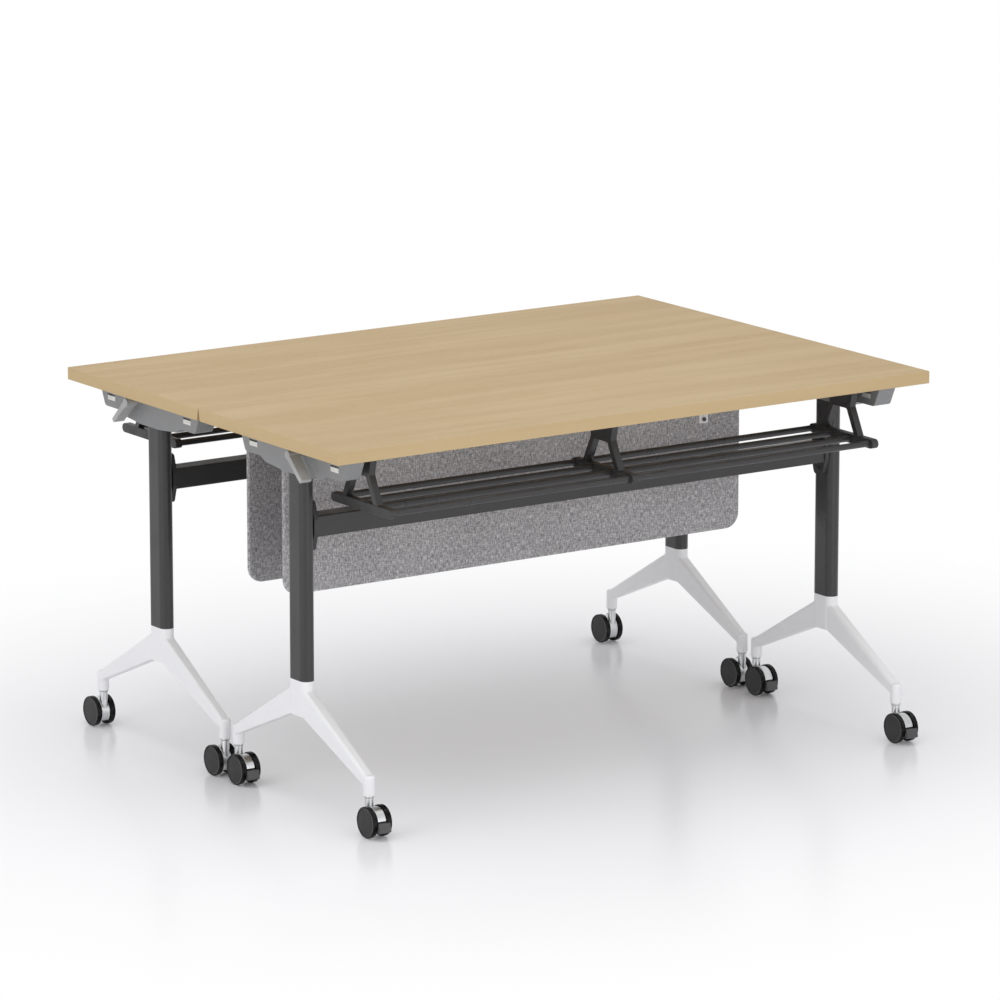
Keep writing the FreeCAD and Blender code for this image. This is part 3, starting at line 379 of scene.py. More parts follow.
def oak_grain():
    """Oak laminate: wide bands, arched growth lines, fibres and pores, all long in X. The lines are the sine
    of the distance across, pushed aside by a slow cloud."""

    def weighed(tree, value, share):
        return maths(tree, "MULTIPLY", value, share)

    def fill(tree, given):
        start = given["Vector"]
        wander = noise(tree, scaled(tree, start, (1.1, 3.2, 3.2)), 1.0, 3.0, 0.5)
        bands = noise(tree, scaled(tree, start, given["Bands"]), 1.0, 3.0, 0.55, 0.35)
        parts = node(tree, "SeparateXYZ", {0: start}).outputs
        across = weighed(tree, maths(tree, "ADD", parts[1], weighed(tree, parts[2], 0.7)), 55.0)
        rings = maths(tree, "SINE", maths(tree, "ADD", across, weighed(tree, wander, 46.0)))
        lines = maths(tree, "MULTIPLY_ADD", rings, 0.5, 0.5)
        fibres = noise(tree, scaled(tree, start, (7.0, 420.0, 420.0)), 1.0, 3.0, 0.6)
        pores = noise(tree, scaled(tree, start, (38.0, 1100.0, 1100.0)), 1.0, 1.0)
        dashes = maths(tree, "MULTIPLY", ramp(tree, pores, 0.60, 0.72), ramp(tree, bands, 0.62, 0.40))
        tone = weighed(tree, ramp(tree, bands, 0.34, 0.68), 0.62)
        tone = maths(tree, "ADD", tone, weighed(tree, lines, 0.14))
        tone = maths(tree, "ADD", tone, weighed(tree, ramp(tree, fibres, 0.3, 0.7), 0.24), clamp=True)
        wood = blend_colours(tree, tone, given["Dark"], given["Light"])
        wood = blend_colours(tree, weighed(tree, dashes, 0.45), wood, given["Pore"])
        height = maths(tree, "SUBTRACT", weighed(tree, fibres, 0.4), dashes)
        return {"Colour": wood, "Height": height, "Tone": tone}

    return group(
        "Oak grain",
        [
            ("Vector", "Vector", None),
            ("Bands", "Vector", (1.1, 18.0, 18.0)),
            ("Light", "Color", None),
            ("Dark", "Color", None),
            ("Pore", "Color", None),
        ],
        [("Colour", "Color"), ("Height", "Float"), ("Tone", "Float")],
        fill,
    )


def melange_weave():
    """Plain weave: each yarn rises as a sine over every second crossing, and has its own tone that drifts
    along it, with thicker pale slubs here and there. Painted shade darkens the yarns where they sink
    between crossings, and a slight painted highlight lifts their crowns."""

    def fill(tree, given):
        parts = node(tree, "SeparateXYZ", {0: given["Vector"]}).outputs
        yarns = [maths(tree, "DIVIDE", parts[way], given["Pitch"]) for way in (0, 1)]
        counts = [maths(tree, "FLOOR", yarn) for yarn in yarns]
        over = maths(tree, "MODULO", maths(tree, "ABSOLUTE", maths(tree, "ADD", *counts)), 2.0)
        swells, tones = [], []
        for way, stretch in ((0, (1.0, 0.09, 1.0)), (1, (0.09, 1.0, 1.0))):
            along = maths(tree, "MULTIPLY", yarns[way], math.pi)
            swells.append(maths(tree, "ABSOLUTE", maths(tree, "SINE", along)))
            place = [counts[0], yarns[1]] if way == 0 else [yarns[0], counts[1]]
            joined = node(tree, "CombineXYZ", {0: place[0], 1: place[1], 2: 3.7 * way}).outputs[0]
            tones.append(noise(tree, scaled(tree, joined, stretch, (0.5, 0.5, 0)), 1.35, 2.0, 0.6))
        height = node(tree, "Mix", {0: over, 2: swells[0], 3: swells[1]}).outputs[0]
        own = node(tree, "Mix", {0: over, 2: tones[0], 3: tones[1]}).outputs[0]
        tone = maths(tree, "MULTIPLY", ramp(tree, own, 0.28, 0.72), 0.34)
        # Slubs up, slubs across, and clouds: scale, shift, detail, roughness, range and share of the tone
        for scale, shift, detail, rough, low, high, share in (
            ((430.0, 95.0, 1.0), (0, 0, 0), 2.0, 0.55, 0.40, 0.66, 0.42),
            ((110.0, 430.0, 1.0), (9, 4, 0), 2.0, 0.55, 0.42, 0.68, 0.34),
            ((5.0, 5.0, 1.0), (0, 0, 0), 3.0, 0.5, 0.2, 0.8, 0.12),
        ):
            layer = noise(tree, scaled(tree, given["Vector"], scale, shift), 1.0, detail, rough)
            tone = maths(tree, "ADD", tone, maths(tree, "MULTIPLY", ramp(tree, layer, low, high), share))
        # Painted shade and highlight: the tone drops to 0.8 where the weave sinks between yarns and rises to
        # 1.05 on their crowns
        tone = maths(tree, "MULTIPLY", tone, maths(tree, "MULTIPLY_ADD", height, 0.25, 0.80), clamp=True)
        return {"Colour": blend_colours(tree, tone, given["Dark"], given["Light"]), "Height": height}

    return group(
        "Melange weave",
        [
            ("Vector", "Vector", None),
            ("Pitch", "Float", 0.0013),
            ("Dark", "Color", None),
            ("Light", "Color", None),
        ],
        [("Colour", "Color"), ("Height", "Float")],
        fill,
    )


# Materials


def blank(name):
    """A new material, with its tree, shader and object coordinates."""
    material = bpy.data.materials.new(name)
    material.use_nodes = True
    tree = material.node_tree
    shader = tree.nodes["Principled BSDF"]
    place = node(tree, "TexCoord").outputs["Object"]
    return material, tree, shader, place


def set_sockets(shader, **values):
    """Sets plain numbers on the shader's own sockets."""
    for name, value in values.items():
        shader.inputs[name.replace("_", " ")].default_value = value


def bump(tree, shader, height, distance, strength=1.0):
    """Feeds a height to the shader's normal."""
    made = node(tree, "Bump", {"Height": height, "Distance": distance, "Strength": strength})
    tree.links.new(made.outputs[0], shader.inputs["Normal"])


def tinted(base, change):
    """A colour with a change worked on each of its parts, kept under full light."""
    return (*(min(1.0, change(part)) for part in base[:3]), 1.0)


def coated(
    name,
    colour,
    roughness,
    peel=900.0,
    depth=0.00004,
    wear=0.35,
    dust=0.10,
    mottle=0.10,
    coat=0.0,
    metallic=0.0,
):
    """Powder coat or paint: mottled tone, orange peel, lighter worn edges, and a trace of dust on top."""
    material, tree, shader, place = blank(name)
    skin = use(tree, orange_peel(), {"Vector": place, "Scale": peel})
    touched = use(tree, handling(), {"Vector": place, "Scale": 8.0})["Mask"]
    edge = use(tree, worn_edges(), {"Vector": place, "Width": sizes().edge_wear})["Mask"]
    veil = use(tree, settled_dust(), {"Vector": place})["Mask"]
    base = picked(colour)
    lighter = tinted(base, lambda part: part * (1 + mottle))
    darker = tinted(base, lambda part: part * (1 - mottle))
    worn = tinted(base, lambda part: part + (BARE_TONE - part) * BARE_SHARE)
    tone = blend_colours(tree, maths(tree, "ADD", skin["Mottle"], 0.5, clamp=True), darker, lighter)
    tone = blend_colours(tree, maths(tree, "MULTIPLY", edge, wear), tone, worn)
    tone = blend_colours(tree, maths(tree, "MULTIPLY", veil, dust), tone, DUST_COLOUR)
    tree.links.new(tone, shader.inputs["Base Color"])
    rough = maths(tree, "MULTIPLY_ADD", touched, 0.10, roughness - 0.05)
    rough = maths(tree, "ADD", rough, maths(tree, "MULTIPLY", veil, dust))
    tree.links.new(rough, shader.inputs["Roughness"])
    set_sockets(shader, Metallic=metallic, Coat_Weight=coat, Coat_Roughness=0.12, Specular_IOR_Level=0.5)
    bump(tree, shader, skin["Height"], depth)
    return material


def moulded(name, colour, roughness, see_through=0.0, gloss=0.5, wear=0.5):
    """Moulded plastic: spark-eroded grain, faint flow clouds, and polish where it is handled."""
    material, tree, shader, place = blank(name)
    grain = use(tree, orange_peel(), {"Vector": place, "Scale": 2400.0})
    touched = use(tree, handling(), {"Vector": place, "Scale": 30.0})["Mask"]
    edge = use(tree, worn_edges(), {"Vector": place, "Width": sizes().edge_wear})["Mask"]
    base = picked(colour)
    deep = tinted(base, lambda part: part * 0.86)
    pale = tinted(base, lambda part: part + (PALE_TONE - part) * PALE_SHARE)
    tone = blend_colours(tree, touched, deep, base)
    tone = blend_colours(tree, maths(tree, "MULTIPLY", edge, wear), tone, pale)
    tree.links.new(tone, shader.inputs["Base Color"])
    rough = maths(tree, "MULTIPLY_ADD", touched, -0.10, roughness + 0.05)
    tree.links.new(rough, shader.inputs["Roughness"])
    set_sockets(shader, Subsurface_Weight=see_through, Specular_IOR_Level=gloss)
    if see_through:
        shader.inputs["Subsurface Radius"].default_value = (0.002, 0.002, 0.002)
    bump(tree, shader, grain["Height"], 0.00002)
    return material


def plated(name, colour, roughness, brushed=0.0):
    """Bare or plated metal: fine polishing lines, and clouds of smears that dull it."""
    material, tree, shader, place = blank(name)
    smears = use(tree, handling(), {"Vector": place, "Scale": 45.0})["Mask"]
    lines = noise(tree, scaled(tree, place, (260.0, 260.0, 2600.0)), 1.0, 2.0)
    edge = use(tree, worn_edges(), {"Vector": place, "Width": sizes().edge_wear})["Mask"]
    base = picked(colour)
    dull = tinted(base, lambda part: part * 0.84)
    bright = tinted(base, lambda part: part * 1.06)
    tone = blend_colours(tree, smears, base, dull)
    tone = blend_colours(tree, edge, tone, bright)
    tree.links.new(tone, shader.inputs["Base Color"])
    rough = maths(tree, "MULTIPLY_ADD", smears, 0.12, roughness)
    rough = maths(tree, "ADD", rough, maths(tree, "MULTIPLY", lines, brushed))
    tree.links.new(rough, shader.inputs["Roughness"])
    set_sockets(shader, Metallic=1.0)
    bump(tree, shader, lines, 0.000012, 0.6)
    return material


def oak_finish():
    """Oak laminate on the faces, and strips on the edges whose grain follows each edge."""
    material, tree, shader, place = blank("oak_laminate")
    coordinates = node(tree, "TexCoord")
    normal = node(tree, "SeparateXYZ", {0: coordinates.outputs["Normal"]}).outputs
    side = maths(tree, "GREATER_THAN", maths(tree, "ABSOLUTE", normal[0]), 0.7)
    level = maths(tree, "GREATER_THAN", maths(tree, "ABSOLUTE", normal[2]), 0.7)
    parts = node(tree, "SeparateXYZ", {0: place}).outputs
    turned = node(tree, "CombineXYZ", {0: parts[1], 1: parts[0], 2: parts[2]}).outputs[0]
    way = node(tree, "Mix", {0: side, 4: place, 5: turned}, data_type="VECTOR").outputs[1]
    made = sizes()
    bands = (1 / made.grain_length, 1 / made.grain_width, 1 / made.grain_width)
    oak = use(
        tree,
        oak_grain(),
        {
            "Vector": way,
            "Bands": bands,
            "Light": picked("oak_light"),
            "Dark": picked("oak_dark"),
            "Pore": picked("oak_pore"),
        },
    )
    strip = blend_colours(tree, 0.5, oak["Colour"], picked("edge_band"))
    tone = blend_colours(tree, level, strip, oak["Colour"])
    touched = use(tree, handling(), {"Vector": place, "Scale": 4.0})["Mask"]
    tree.links.new(tone, shader.inputs["Base Color"])
    rough = maths(tree, "MULTIPLY_ADD", touched, 0.08, 0.54)
    rough = maths(tree, "ADD", rough, maths(tree, "MULTIPLY", oak["Tone"], -0.04))
    tree.links.new(rough, shader.inputs["Roughness"])
    set_sockets(shader, Specular_IOR_Level=0.05)
    bump(tree, shader, oak["Height"], 0.00005, 0.7)
    return material


def cloth_finish():
    """Melange cloth on the panel's own UV map, in metres, with a soft sheen."""
    material, tree, shader, _ = blank("melange_cloth")
    spread = node(tree, "UVMap", uv_map="Cloth").outputs[0]
    weave = use(
        tree,
        melange_weave(),
        {
            "Vector": spread,
            "Pitch": sizes().weave_pitch,
            "Dark": picked("cloth_dark"),
            "Light": picked("cloth_light"),
        },
    )
    tree.links.new(weave["Colour"], shader.inputs["Base Color"])
    set_sockets(shader, Roughness=0.88, Sheen_Weight=0.25, Sheen_Roughness=0.45, Specular_IOR_Level=0.25)
    bump(tree, shader, weave["Height"], 0.00035, 0.8)
    return material


def tyre_finish():
    """Tyre rubber: dull, with fine moulding grain and scuffs that turn grey on the tread."""
    material, tree, shader, place = blank("tyre_rubber")
    grain = use(tree, orange_peel(), {"Vector": place, "Scale": 1800.0})
    scuffs = use(tree, handling(), {"Vector": place, "Scale": 70.0})["Mask"]
    base = picked("tread_black")
    grey = tinted(base, lambda part: part + 0.02)
    tree.links.new(blend_colours(tree, scuffs, base, grey), shader.inputs["Base Color"])
    tree.links.new(maths(tree, "MULTIPLY_ADD", scuffs, 0.12, 0.20), shader.inputs["Roughness"])
    set_sockets(shader, Specular_IOR_Level=0.10)
    bump(tree, shader, grain["Height"], 0.00003)
    return material


# Meshes


def mesh_piece(name, points, faces, body, materials, face_slots=None, uv=None, smooth=True):
    """A piece from an array of points and a list of faces, riding on a body."""
    mesh = bpy.data.meshes.new(name)
    mesh.from_pydata(points.tolist(), [], faces)
    for material in materials:
        mesh.materials.append(material)
    if face_slots is not None:
        mesh.polygons.foreach_set("material_index", np.asarray(face_slots, np.int32))
    if uv is not None:
        corners = np.empty(len(mesh.loops), np.int32)
        mesh.loops.foreach_get("vertex_index", corners)
        layer = mesh.uv_layers.new(name="Cloth")
        layer.data.foreach_set("uv", uv[corners].astype(np.float32).ravel())
    mesh.polygons.foreach_set("use_smooth", np.full(len(mesh.polygons), smooth))
    mesh.update()
    piece = bpy.data.objects.new(name, mesh)
    bpy.context.scene.collection.objects.link(piece)
    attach(piece, body)
    return piece


def grid_faces(rows, columns, wrap=True):
    """Quads between neighbouring rows and columns of a grid, its columns closed into rings if they wrap."""
    used = columns if wrap else columns - 1
    row, column = np.meshgrid(np.arange(rows - 1), np.arange(used), indexing="ij")
    here, beside = row * columns + column, row * columns + (column + 1) % columns
    return np.stack([here, beside, beside + columns, here + columns], axis=-1).reshape(-1, 4)


def revolve(profile, centre, axis, steps, name, body, materials, zones=None, smooth=True):
    """A profile of (along, radius) turned about an axis: point = centre + along on the axis, and r cos t and
    r sin t on the two that follow it. A radius may be a row of numbers, one for each step of the turn. The
    profile runs from the axis's high end to its low one, and its first and last points lie on the axis. Zones
    give the material of each point's ring of faces."""
    turn = np.linspace(0, 2 * math.pi, steps, endpoint=False)
    along = np.array([row[0] for row in profile])
    radius = np.array([np.broadcast_to(row[1], steps) for row in profile])
    ring = np.empty((len(profile) - 2, steps, 3))
    ring[..., axis] = along[1:-1, None]
    ring[..., (axis + 1) % 3] = radius[1:-1] * np.cos(turn)
    ring[..., (axis + 2) % 3] = radius[1:-1] * np.sin(turn)
    poles = np.zeros((2, 3))
    poles[:, axis] = along[[0, -1]]
    points = np.vstack([ring.reshape(-1, 3), poles]) + np.asarray(centre)
    rows = len(profile) - 2
    first_pole, last_pole = rows * steps, rows * steps + 1
    step = np.arange(steps)
    after = (step + 1) % steps
    last_ring = (rows - 1) * steps
    start_fan = np.stack([step, after, np.full(steps, first_pole)], axis=-1)
    end_fan = np.stack([last_ring + after, last_ring + step, np.full(steps, last_pole)], axis=-1)
    faces = [*grid_faces(rows, steps)[:, ::-1].tolist(), *start_fan.tolist(), *end_fan.tolist()]
    face_slots = None
    if zones is not None:
        ends = [np.full(steps, zones[end]) for end in (0, -1)]
        face_slots = np.concatenate([np.repeat(zones[1:-1], steps), *ends])
    return mesh_piece(name, points, faces, body, materials, face_slots, smooth=smooth)


def dress(names, material):
    """Gives each of these frame nodes one material, in its own slots."""
    for name in names:
        piece = NODES[name]
        if not piece.material_slots:
            piece.data.materials.append(None)
        for slot in piece.material_slots:
            slot.link = "OBJECT"
            slot.material = material


# Operators


class MakeWorktops(bpy.types.Operator):
    """Finish the two oak boards"""

    bl_idname = "flip_tables.worktops"
    bl_label = "Worktops"

    def execute(self, context):
        dress([f"{table}_top" for table in TABLES], oak_finish())
        return {"FINISHED"}


class MakeBrackets(bpy.types.Operator):
    """Finish the hinge brackets, their inserts and the release levers"""

    bl_idname = "flip_tables.brackets"
    bl_label = "Brackets and levers"

    def execute(self, context):
        casting = coated("bracket_coat", "bracket_grey", 0.46, peel=1100.0, depth=0.00005, wear=0.4)
        paddle = moulded("lever_plastic", "lever_grey", 0.42)
        insert = moulded("insert_plastic", "insert_white", 0.38, see_through=0.15)
        for table in TABLES:
            dress([f"{table}_bracket_{side}" for side in SIDES], casting)
            dress([f"{table}_lever_{side}" for side in SIDES], paddle)
            dress([f"{table}_inserts"], insert)
        return {"FINISHED"}


class MakeFrames(bpy.types.Operator):
    """Finish the legs and crossbeams in black powder coat"""

    bl_idname = "flip_tables.frames"
    bl_label = "Legs and beams"

    def execute(self, context):
        black = coated("frame_coat", "frame_black", 0.36, wear=0.25, dust=0.05)
        for table in TABLES:
            dress([f"{table}_leg_{side}" for side in SIDES], black)
            dress([f"{table}_beam"], black)
        return {"FINISHED"}


class MakeFeet(bpy.types.Operator):
    """Finish the cast feet in glossy white"""

    bl_idname = "flip_tables.feet"
    bl_label = "Feet"

    def execute(self, context):
        white = coated(
            "foot_gloss",
            "foot_white",
            0.36,
            peel=420.0,
            depth=0.00005,
            wear=0.0,
            dust=0.03,
            mottle=0.012,
            coat=0.25,
        )
        dress([f"{table}_foot_{side}" for table in TABLES for side in SIDES], white)
        return {"FINISHED"}


class MakeShelves(bpy.types.Operator):
    """Finish the shelf rails, their end pieces and the hangers"""

    bl_idname = "flip_tables.shelves"
    bl_label = "Shelves"

    def execute(self, context):
        rails = coated("shelf_coat", "frame_black", 0.32, wear=0.3, dust=0.08)
        ends = moulded("shelf_end_plastic", "frame_black", 0.45)
        for table in TABLES:
            dress([f"{table}_shelf_rails", f"{table}_hangers"], rails)
            dress([f"{table}_shelf_ends"], ends)
        return {"FINISHED"}


class MakeFixings(bpy.types.Operator):
    """Finish the pins, screws, and the panels' hinges"""

    bl_idname = "flip_tables.fixings"
    bl_label = "Pins, screws and hinges"

    def execute(self, context):
        painted = coated("fixing_coat", "bracket_grey", 0.44, wear=0.5)
        hinge = coated("hinge_coat", "hinge_grey", 0.40, wear=0.2)
        for table in TABLES:
            dress([f"{table}_fasteners"], painted)
            dress([f"{table}_panel_straps", f"{table}_panel_leaves"], hinge)
        return {"FINISHED"}


class MakeScrews(bpy.types.Operator):
    """Make the socket screws that hold the straps to the panels"""

    bl_idname = "flip_tables.screws"
    bl_label = "Strap screws"

    def execute(self, context):
        blackened = coated("screw_coat", "screw_black", 0.38, wear=0.3, metallic=0.5)
        for table, way in zip(TABLES, (-1, 1)):
            low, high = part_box(f"{table}_panel_straps")
            panel_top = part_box(f"{table}_panel")[1][2]
            face = (low[1] if way < 0 else high[1]) - way * SCREW_HEIGHT
            columns = {"left": low[0] + STRAP_WIDTH / 2, "right": high[0] - STRAP_WIDTH / 2}
            levels = {"lower": low[2] + SCREW_MARGIN, "upper": panel_top - 2 * SCREW_MARGIN}
            for side, across in columns.items():
                for level, height in levels.items():
                    name = f"{table}_strap_screw_{side}_{level}"
                    self.screw(name, (across, face, height), way, f"{table}_panel", blackened)
        return {"FINISHED"}

    def screw(self, name, place, way, body, material):
        """A head that covers the frame's plain one: round sides, a bevelled rim, and a socket whose radius is
        a hexagon's, half its width / cos of the angle from the middle of the nearest flat."""
        made = sizes()
        turn = np.linspace(0, 2 * math.pi, SCREW_STEPS, endpoint=False)
        side = math.pi / 3
        socket = made.screw_socket / np.cos((turn + side / 2) % side - side / 2)
        under, bevel, skin = 0.0002, 0.0004, 0.0001
        rim, floor = SCREW_HEIGHT + made.screw_proud, SCREW_HEIGHT + skin
        rows = [
            (under, 0.0),
            (under, made.screw_head),
            (rim - bevel, made.screw_head),
            (rim, made.screw_head - bevel),
            (rim, socket),
            (floor, socket),
            (floor, 0.0),
        ]
        profile = [(way * height, radius) for height, radius in rows][:: -way]
        revolve(profile, place, 1, SCREW_STEPS, name, body, [material], smooth=False)


def rounded_outline(half_width, low, high, corner):
    """Outline of a panel with square upper corners and round lower ones, run round from its upper left:
    straight runs at the sides, and quarter circles of the corner's radius."""
    sweep = np.linspace(0, math.pi / 2, CORNER_POINTS)
    start, rise = -half_width + corner, low + corner
    left = np.stack([start - corner * np.cos(sweep), rise - corner * np.sin(sweep)], -1)
    right = left[::-1] * (-1, 1)
    sides = np.linspace(high, rise, SIDE_POINTS)[1:-1]
    down = np.stack([np.full_like(sides, -half_width), sides], -1)
    up = (down * (-1, 1))[::-1]
    bottom = np.linspace(start, -start, EDGE_POINTS)[1:-1]
    across = np.stack([bottom, np.full_like(bottom, low)], -1)
    top = np.linspace(half_width, -half_width, EDGE_POINTS + 2)[:-2]
    over = np.stack([top, np.full_like(top, high)], -1)
    return np.vstack([[[-half_width, high]], down, left, across, right, up, over])


class MakePanels(bpy.types.Operator):
    """Make the cloth-covered modesty panels"""

    bl_idname = "flip_tables.panels"
    bl_label = "Cloth panels"

    def execute(self, context):
        cloth = cloth_finish()
        for number, table in enumerate(TABLES):
            name, body = f"{table}_panel_cloth", f"{table}_panel"
            points, faces, uv = self.board(*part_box(body))
            uv += (number * CLOTH_SHIFT, 0)
            piece = mesh_piece(name, points, faces, body, [cloth], uv=uv)
            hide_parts(f"{table}_panel")
        return {"FINISHED"}

    def board(self, low, high):
        """Points, faces and cloth coordinates of one panel. Its rings are one outline, each drawn in from the
        rim, with y on a quarter circle of the rim's radius out to the flat face, and a shallow groove at the
        middle of the edge. In the cloth's coordinates a ring is as far from the first as the cloth runs."""
        made = sizes()
        low, high = np.array(low[:]), np.array(high[:])
        half_width, half_depth = (high[0] - low[0]) / 2, (high[1] - low[1]) / 2
        rim = made.panel_rim
        turn = np.linspace(0, math.pi / 2, ROUND_POINTS)
        curl = np.stack([rim - rim * np.sin(turn), half_depth - rim + rim * np.cos(turn)], -1)
        face = np.array([[inset, half_depth] for inset in FACE_INSETS])
        lip = np.array([[0.0, made.panel_seam * 1.2], [made.panel_seam, 0.0]])
        near = np.vstack([face, curl, lip])
        rings = np.vstack([near, near[::-1][1:] * (1, -1)])
        outline = rounded_outline(half_width, low[2], high[2], made.panel_corner)
        ahead = np.roll(outline, -1, 0) - outline
        behind = outline - np.roll(outline, 1, 0)
        inward = [np.stack([-step[:, 1], step[:, 0]], -1) for step in (ahead, behind)]
        inward = [side / np.linalg.norm(side, axis=1, keepdims=True) for side in inward]
        bisector = inward[0] + inward[1]
        bisector /= (1 + np.sum(inward[0] * inward[1], axis=1))[:, None]
        drawn = outline[None] + rings[:, 0][:, None, None] * bisector[None]
        depth = np.broadcast_to(rings[:, 1][:, None], drawn.shape[:2])
        middle = (low[1] + high[1]) / 2
        points = np.stack([drawn[..., 0], middle + depth, drawn[..., 1]], -1).reshape(-1, 3)
        rolled = near[0, 0] - np.cumsum(np.r_[0, np.hypot(*np.diff(near, axis=0).T)])
        rolled = np.concatenate([rolled, rolled[::-1][1:]])
        uv = (outline[None] + rolled[:, None, None] * bisector[None]).reshape(-1, 2)
        count = len(outline)
        last = (len(rings) - 1) * count
        faces = grid_faces(len(rings), count).tolist()
        faces += [list(range(count))[::-1], list(range(last, last + count))]
        return points, faces, uv


class MakeCastors(bpy.types.Operator):
    """Make the twin wheels, and finish the castors' hoods and pedals"""

    bl_idname = "flip_tables.castors"
    bl_label = "Castors"

    def execute(self, context):
        chrome = plated("hood_chrome", "chrome", 0.28)
        pedal = moulded("pedal_plastic", "pedal_grey", 0.40, gloss=0.4)
        tyre = tyre_finish()
        web = moulded("wheel_plastic", "wheel_grey", 0.34, gloss=0.3, wear=0.0)
        axle = plated("axle_steel", "steel", 0.28, brushed=0.1)
        for castor in CASTORS:
            dress([f"{castor}_yoke"], chrome)
            dress([f"{castor}_pedal"], pedal)
            self.wheels(castor, [tyre, web, axle])
            self.seal(castor, web)
        return {"FINISHED"}

    def seal(self, castor, material):
        """A thin dust seal round the stem, under its shoulder: a turned disc with bevelled lips."""
        made = sizes()
        joints = {joint["name"]: joint for joint in frame["record"]["behaviour"]["joints"]}
        across, along, _ = joints[f"{castor}_swivel"]["pos_m"]
        place = (across, along, STEM_SHOULDER)
        lip, sunk, bottom = 0.0002, 0.00005, -made.seal_height
        radius = STEM_RADIUS + made.seal_proud
        profile = [(-sunk, 0), (-sunk, radius - lip), (-sunk - lip, radius)]
        profile += [(bottom + lip, radius), (bottom, radius - lip), (bottom, 0)]
        name, body = f"{castor}_stem_seal", f"{castor}_yoke"
        revolve(profile, place, 2, SEAL_STEPS, name, body, [material], smooth=False)

    def wheels(self, castor, materials):
        """Two tyres with shouldered treads, set-back faces and the axle between them, as one turned profile
        of (distance from the middle, radius). Its right half runs from the axis out over the face and the
        tread, and back down the inner side to the axle."""
        made = sizes()
        low, high = (np.array(corner[:]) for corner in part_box(f"{castor}_wheels"))
        centre, half = (low + high) / 2, (high - low) / 2
        outer, radius = half[0], half[2]
        inner, shoulder = outer / 2, made.tread_round
        turn = np.linspace(0, math.pi / 2, ROUND_POINTS)
        rise, run = shoulder * np.sin(turn), shoulder * np.cos(turn)
        face_radius, set_back = radius - FACE_MARGIN, FACE_SET_BACK
        share = np.linspace(0, 1, ROUND_POINTS)
        face = np.stack([outer - set_back + made.wheel_crown * (1 - share**2), face_radius * share], -1)
        ledge_foot, ledge_top = face_radius + 0.0001, face_radius + 0.0006
        ledge = np.array([[outer - set_back * 0.4, ledge_foot], [outer, ledge_top]])
        out_round = np.stack([outer - shoulder + run, radius - shoulder + rise], -1)
        in_round = np.stack([inner + shoulder - rise, radius - shoulder + run], -1)
        notch, notch_depth = 0.0004, 0.0001
        hub_rings = [[inner, HUB_OUTER], [inner, HUB_INNER]]
        groove = [[inner, AXLE_RADIUS + notch], [inner - notch_depth, AXLE_RADIUS]]
        right = np.vstack([face, ledge, out_round, in_round, hub_rings, groove])
        profile = np.vstack([right, right[::-1] * (-1, 1)])
        # The material of each run of the profile: 1 is the web's face, 0 the tyre and 2 the axle
        zones = [1] * (len(face) - 1) + [0] * (len(ledge) + len(out_round) + len(in_round) + 1)
        zones += [2] * (len(right) - 1 - len(zones))
        zones = [*zones, 2, *zones[::-1]]
        name, body = f"{castor}_wheel_pair", f"{castor}_wheels"
        pair = revolve(profile, centre, 0, WHEEL_STEPS, name, body, materials, zones)
        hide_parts(f"{castor}_wheels")


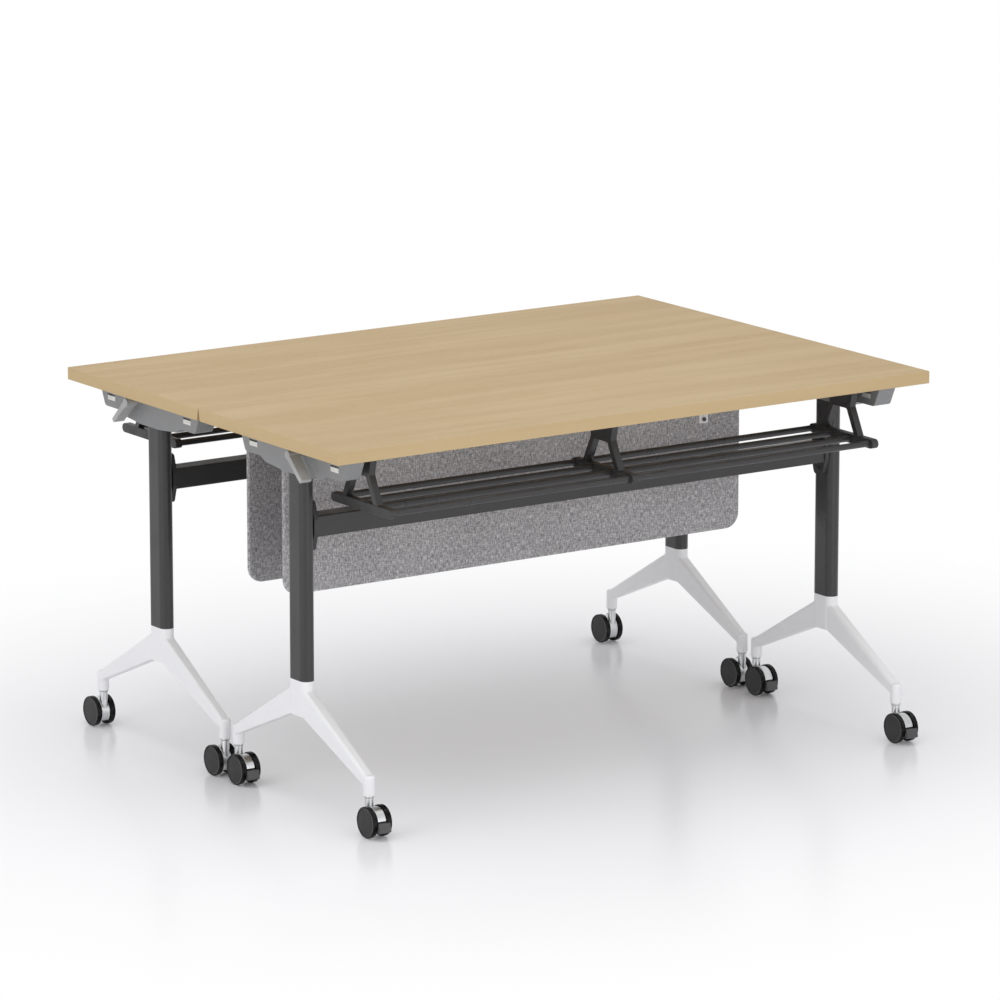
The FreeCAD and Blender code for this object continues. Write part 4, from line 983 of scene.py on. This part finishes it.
class MakeStage(bpy.types.Operator):
    """Make the floor, the lamps, the surround and the camera"""

    bl_idname = "flip_tables.stage"
    bl_label = "Stage"

    def execute(self, context):
        settings = context.scene.flip_table_stage
        self.floor(settings)
        self.surround(settings)
        # Name, power, place, point aimed at, and width of each lamp
        for name, power, place, aim, width in (
            ("overhead_lamp", settings.overhead, (-0.4, -0.2, 3.4), (0, 0, 0.7), 3.6),
            ("front_lamp", settings.front, (0.2, -4.8, 1.15), (0, 0, 0.55), 2.3),
            ("side_lamp", settings.side, (-4.6, -0.8, 1.3), (0, 0, 0.5), 2.2),
        ):
            self.lamp(name, power, place, aim, width)
        self.camera(settings)
        context.scene.view_settings.view_transform = "Standard"
        return {"FINISHED"}

    def floor(self, settings):
        """A wide flat sheet whose own tone fades to white away from the tables."""
        reach = np.linspace(-FLOOR_REACH, FLOOR_REACH, 3)
        across, along = np.meshgrid(reach, reach, indexing="ij")
        points = np.stack([across, along, np.full_like(across, -FLOOR_DROP)], -1).reshape(-1, 3)
        mesh = bpy.data.meshes.new("floor")
        mesh.from_pydata(points.tolist(), [], grid_faces(3, 3, wrap=False)[:, ::-1].tolist())
        floor = bpy.data.objects.new("floor", mesh)
        bpy.context.scene.collection.objects.link(floor)
        material, tree, shader, place = blank("floor")
        shader.inputs["Base Color"].default_value = linear(settings.floor_tone)
        set_sockets(shader, Roughness=0.22, Specular_IOR_Level=0.35)
        oval = scaled(tree, place, FADE_SHAPE)
        distance = node(tree, "VectorMath", {0: oval}, operation="LENGTH")
        fade = ramp(tree, distance.outputs["Value"], FADE_START, settings.floor_reach)
        rays = node(tree, "LightPath").outputs
        seen = maths(tree, "ADD", rays["Is Camera Ray"], rays["Is Glossy Ray"], clamp=True)
        seen = maths(tree, "ADD", seen, rays["Is Transmission Ray"], clamp=True)
        white = node(tree, "Emission", {"Color": (1, 1, 1, 1), "Strength": 1.0}).outputs[0]
        share = maths(tree, "MULTIPLY", fade, seen)
        mixed = node(tree, "MixShader", {0: share, 1: shader.outputs[0], 2: white})
        tree.links.new(mixed.outputs[0], tree.nodes["Material Output"].inputs["Surface"])
        mesh.materials.append(material)

    def surround(self, settings):
        """White to the camera, a little less in reflections, and a plain grey light on surfaces."""
        world = bpy.data.worlds.new("surround")
        bpy.context.scene.world = world
        world.use_nodes = True
        tree = world.node_tree
        tree.nodes.clear()
        rays = node(tree, "LightPath").outputs
        seen = maths(tree, "ADD", rays["Is Camera Ray"], rays["Is Transmission Ray"], clamp=True)
        level = node(tree, "Mix", {0: seen, 2: settings.surround, 3: 1.0}).outputs[0]
        level = node(tree, "Mix", {0: rays["Is Glossy Ray"], 2: level, 3: GLOSSY_LEVEL}).outputs[0]
        light = node(tree, "Background", {"Color": (1, 1, 1, 1), "Strength": level})
        out = tree.nodes.new("ShaderNodeOutputWorld")
        tree.links.new(light.outputs[0], out.inputs["Surface"])

    def lamp(self, name, power, place, aim, width):
        """A soft square lamp at one point, turned towards another."""
        light = bpy.data.lights.new(name, "AREA")
        light.energy, light.size = power, width
        lamp = bpy.data.objects.new(name, light)
        bpy.context.scene.collection.objects.link(lamp)
        lamp.location = place
        direction = np.subtract(aim, place)
        flat = math.hypot(direction[0], direction[1])
        lamp.rotation_euler = (math.atan2(flat, -direction[2]), 0, math.atan2(-direction[0], direction[1]))

    def camera(self, settings):
        """The camera at the photograph's angle."""
        lens = bpy.data.cameras.new("camera")
        lens.sensor_width, lens.lens = FILM_WIDTH, settings.focal_length
        lens.clip_end = VIEW_DEPTH
        camera = bpy.data.objects.new("camera", lens)
        bpy.context.scene.collection.objects.link(camera)
        camera.location = settings.camera_place
        camera.rotation_euler = (math.pi / 2 - settings.camera_tilt, 0, -settings.camera_turn)
        bpy.context.scene.camera = camera


OPERATORS = (
    MakeWorktops,
    MakeBrackets,
    MakeFrames,
    MakeFeet,
    MakeShelves,
    MakeFixings,
    MakeScrews,
    MakePanels,
    MakeCastors,
    MakeStage,
)


class TablePanel(bpy.types.Panel):
    """Lists the pieces and their settings"""

    bl_idname = "VIEW3D_PT_flip_tables"
    bl_label = "Flip-top tables"
    bl_space_type = "VIEW_3D"
    bl_region_type = "UI"
    bl_category = "Tables"

    def draw(self, context):
        layout = self.layout
        for operator in OPERATORS:
            layout.operator(operator.bl_idname)
        for label in SETTINGS:
            settings = getattr(context.scene, label)
            box = layout.box()
            for name in settings.__annotations__:
                box.prop(settings, name)


CLASSES = (TableSizes, TableColours, StageSettings, *OPERATORS, TablePanel)


def register():
    """Registers the classes and hangs the settings on the scene."""
    for cls in CLASSES:
        bpy.utils.register_class(cls)
    bpy.types.Scene.flip_table_sizes = bpy.props.PointerProperty(type=TableSizes)
    bpy.types.Scene.flip_table_colours = bpy.props.PointerProperty(type=TableColours)
    bpy.types.Scene.flip_table_stage = bpy.props.PointerProperty(type=StageSettings)


def unregister():
    """Takes the settings and the classes away again."""
    for label in SETTINGS:
        delattr(bpy.types.Scene, label)
    for cls in reversed(CLASSES):
        bpy.utils.unregister_class(cls)


def main():
    """Registers the add-on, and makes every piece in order."""
    register()
    for operator in OPERATORS:
        area, name = operator.bl_idname.split(".")
        getattr(getattr(bpy.ops, area), name)()


if __name__ == "__main__":
    main()
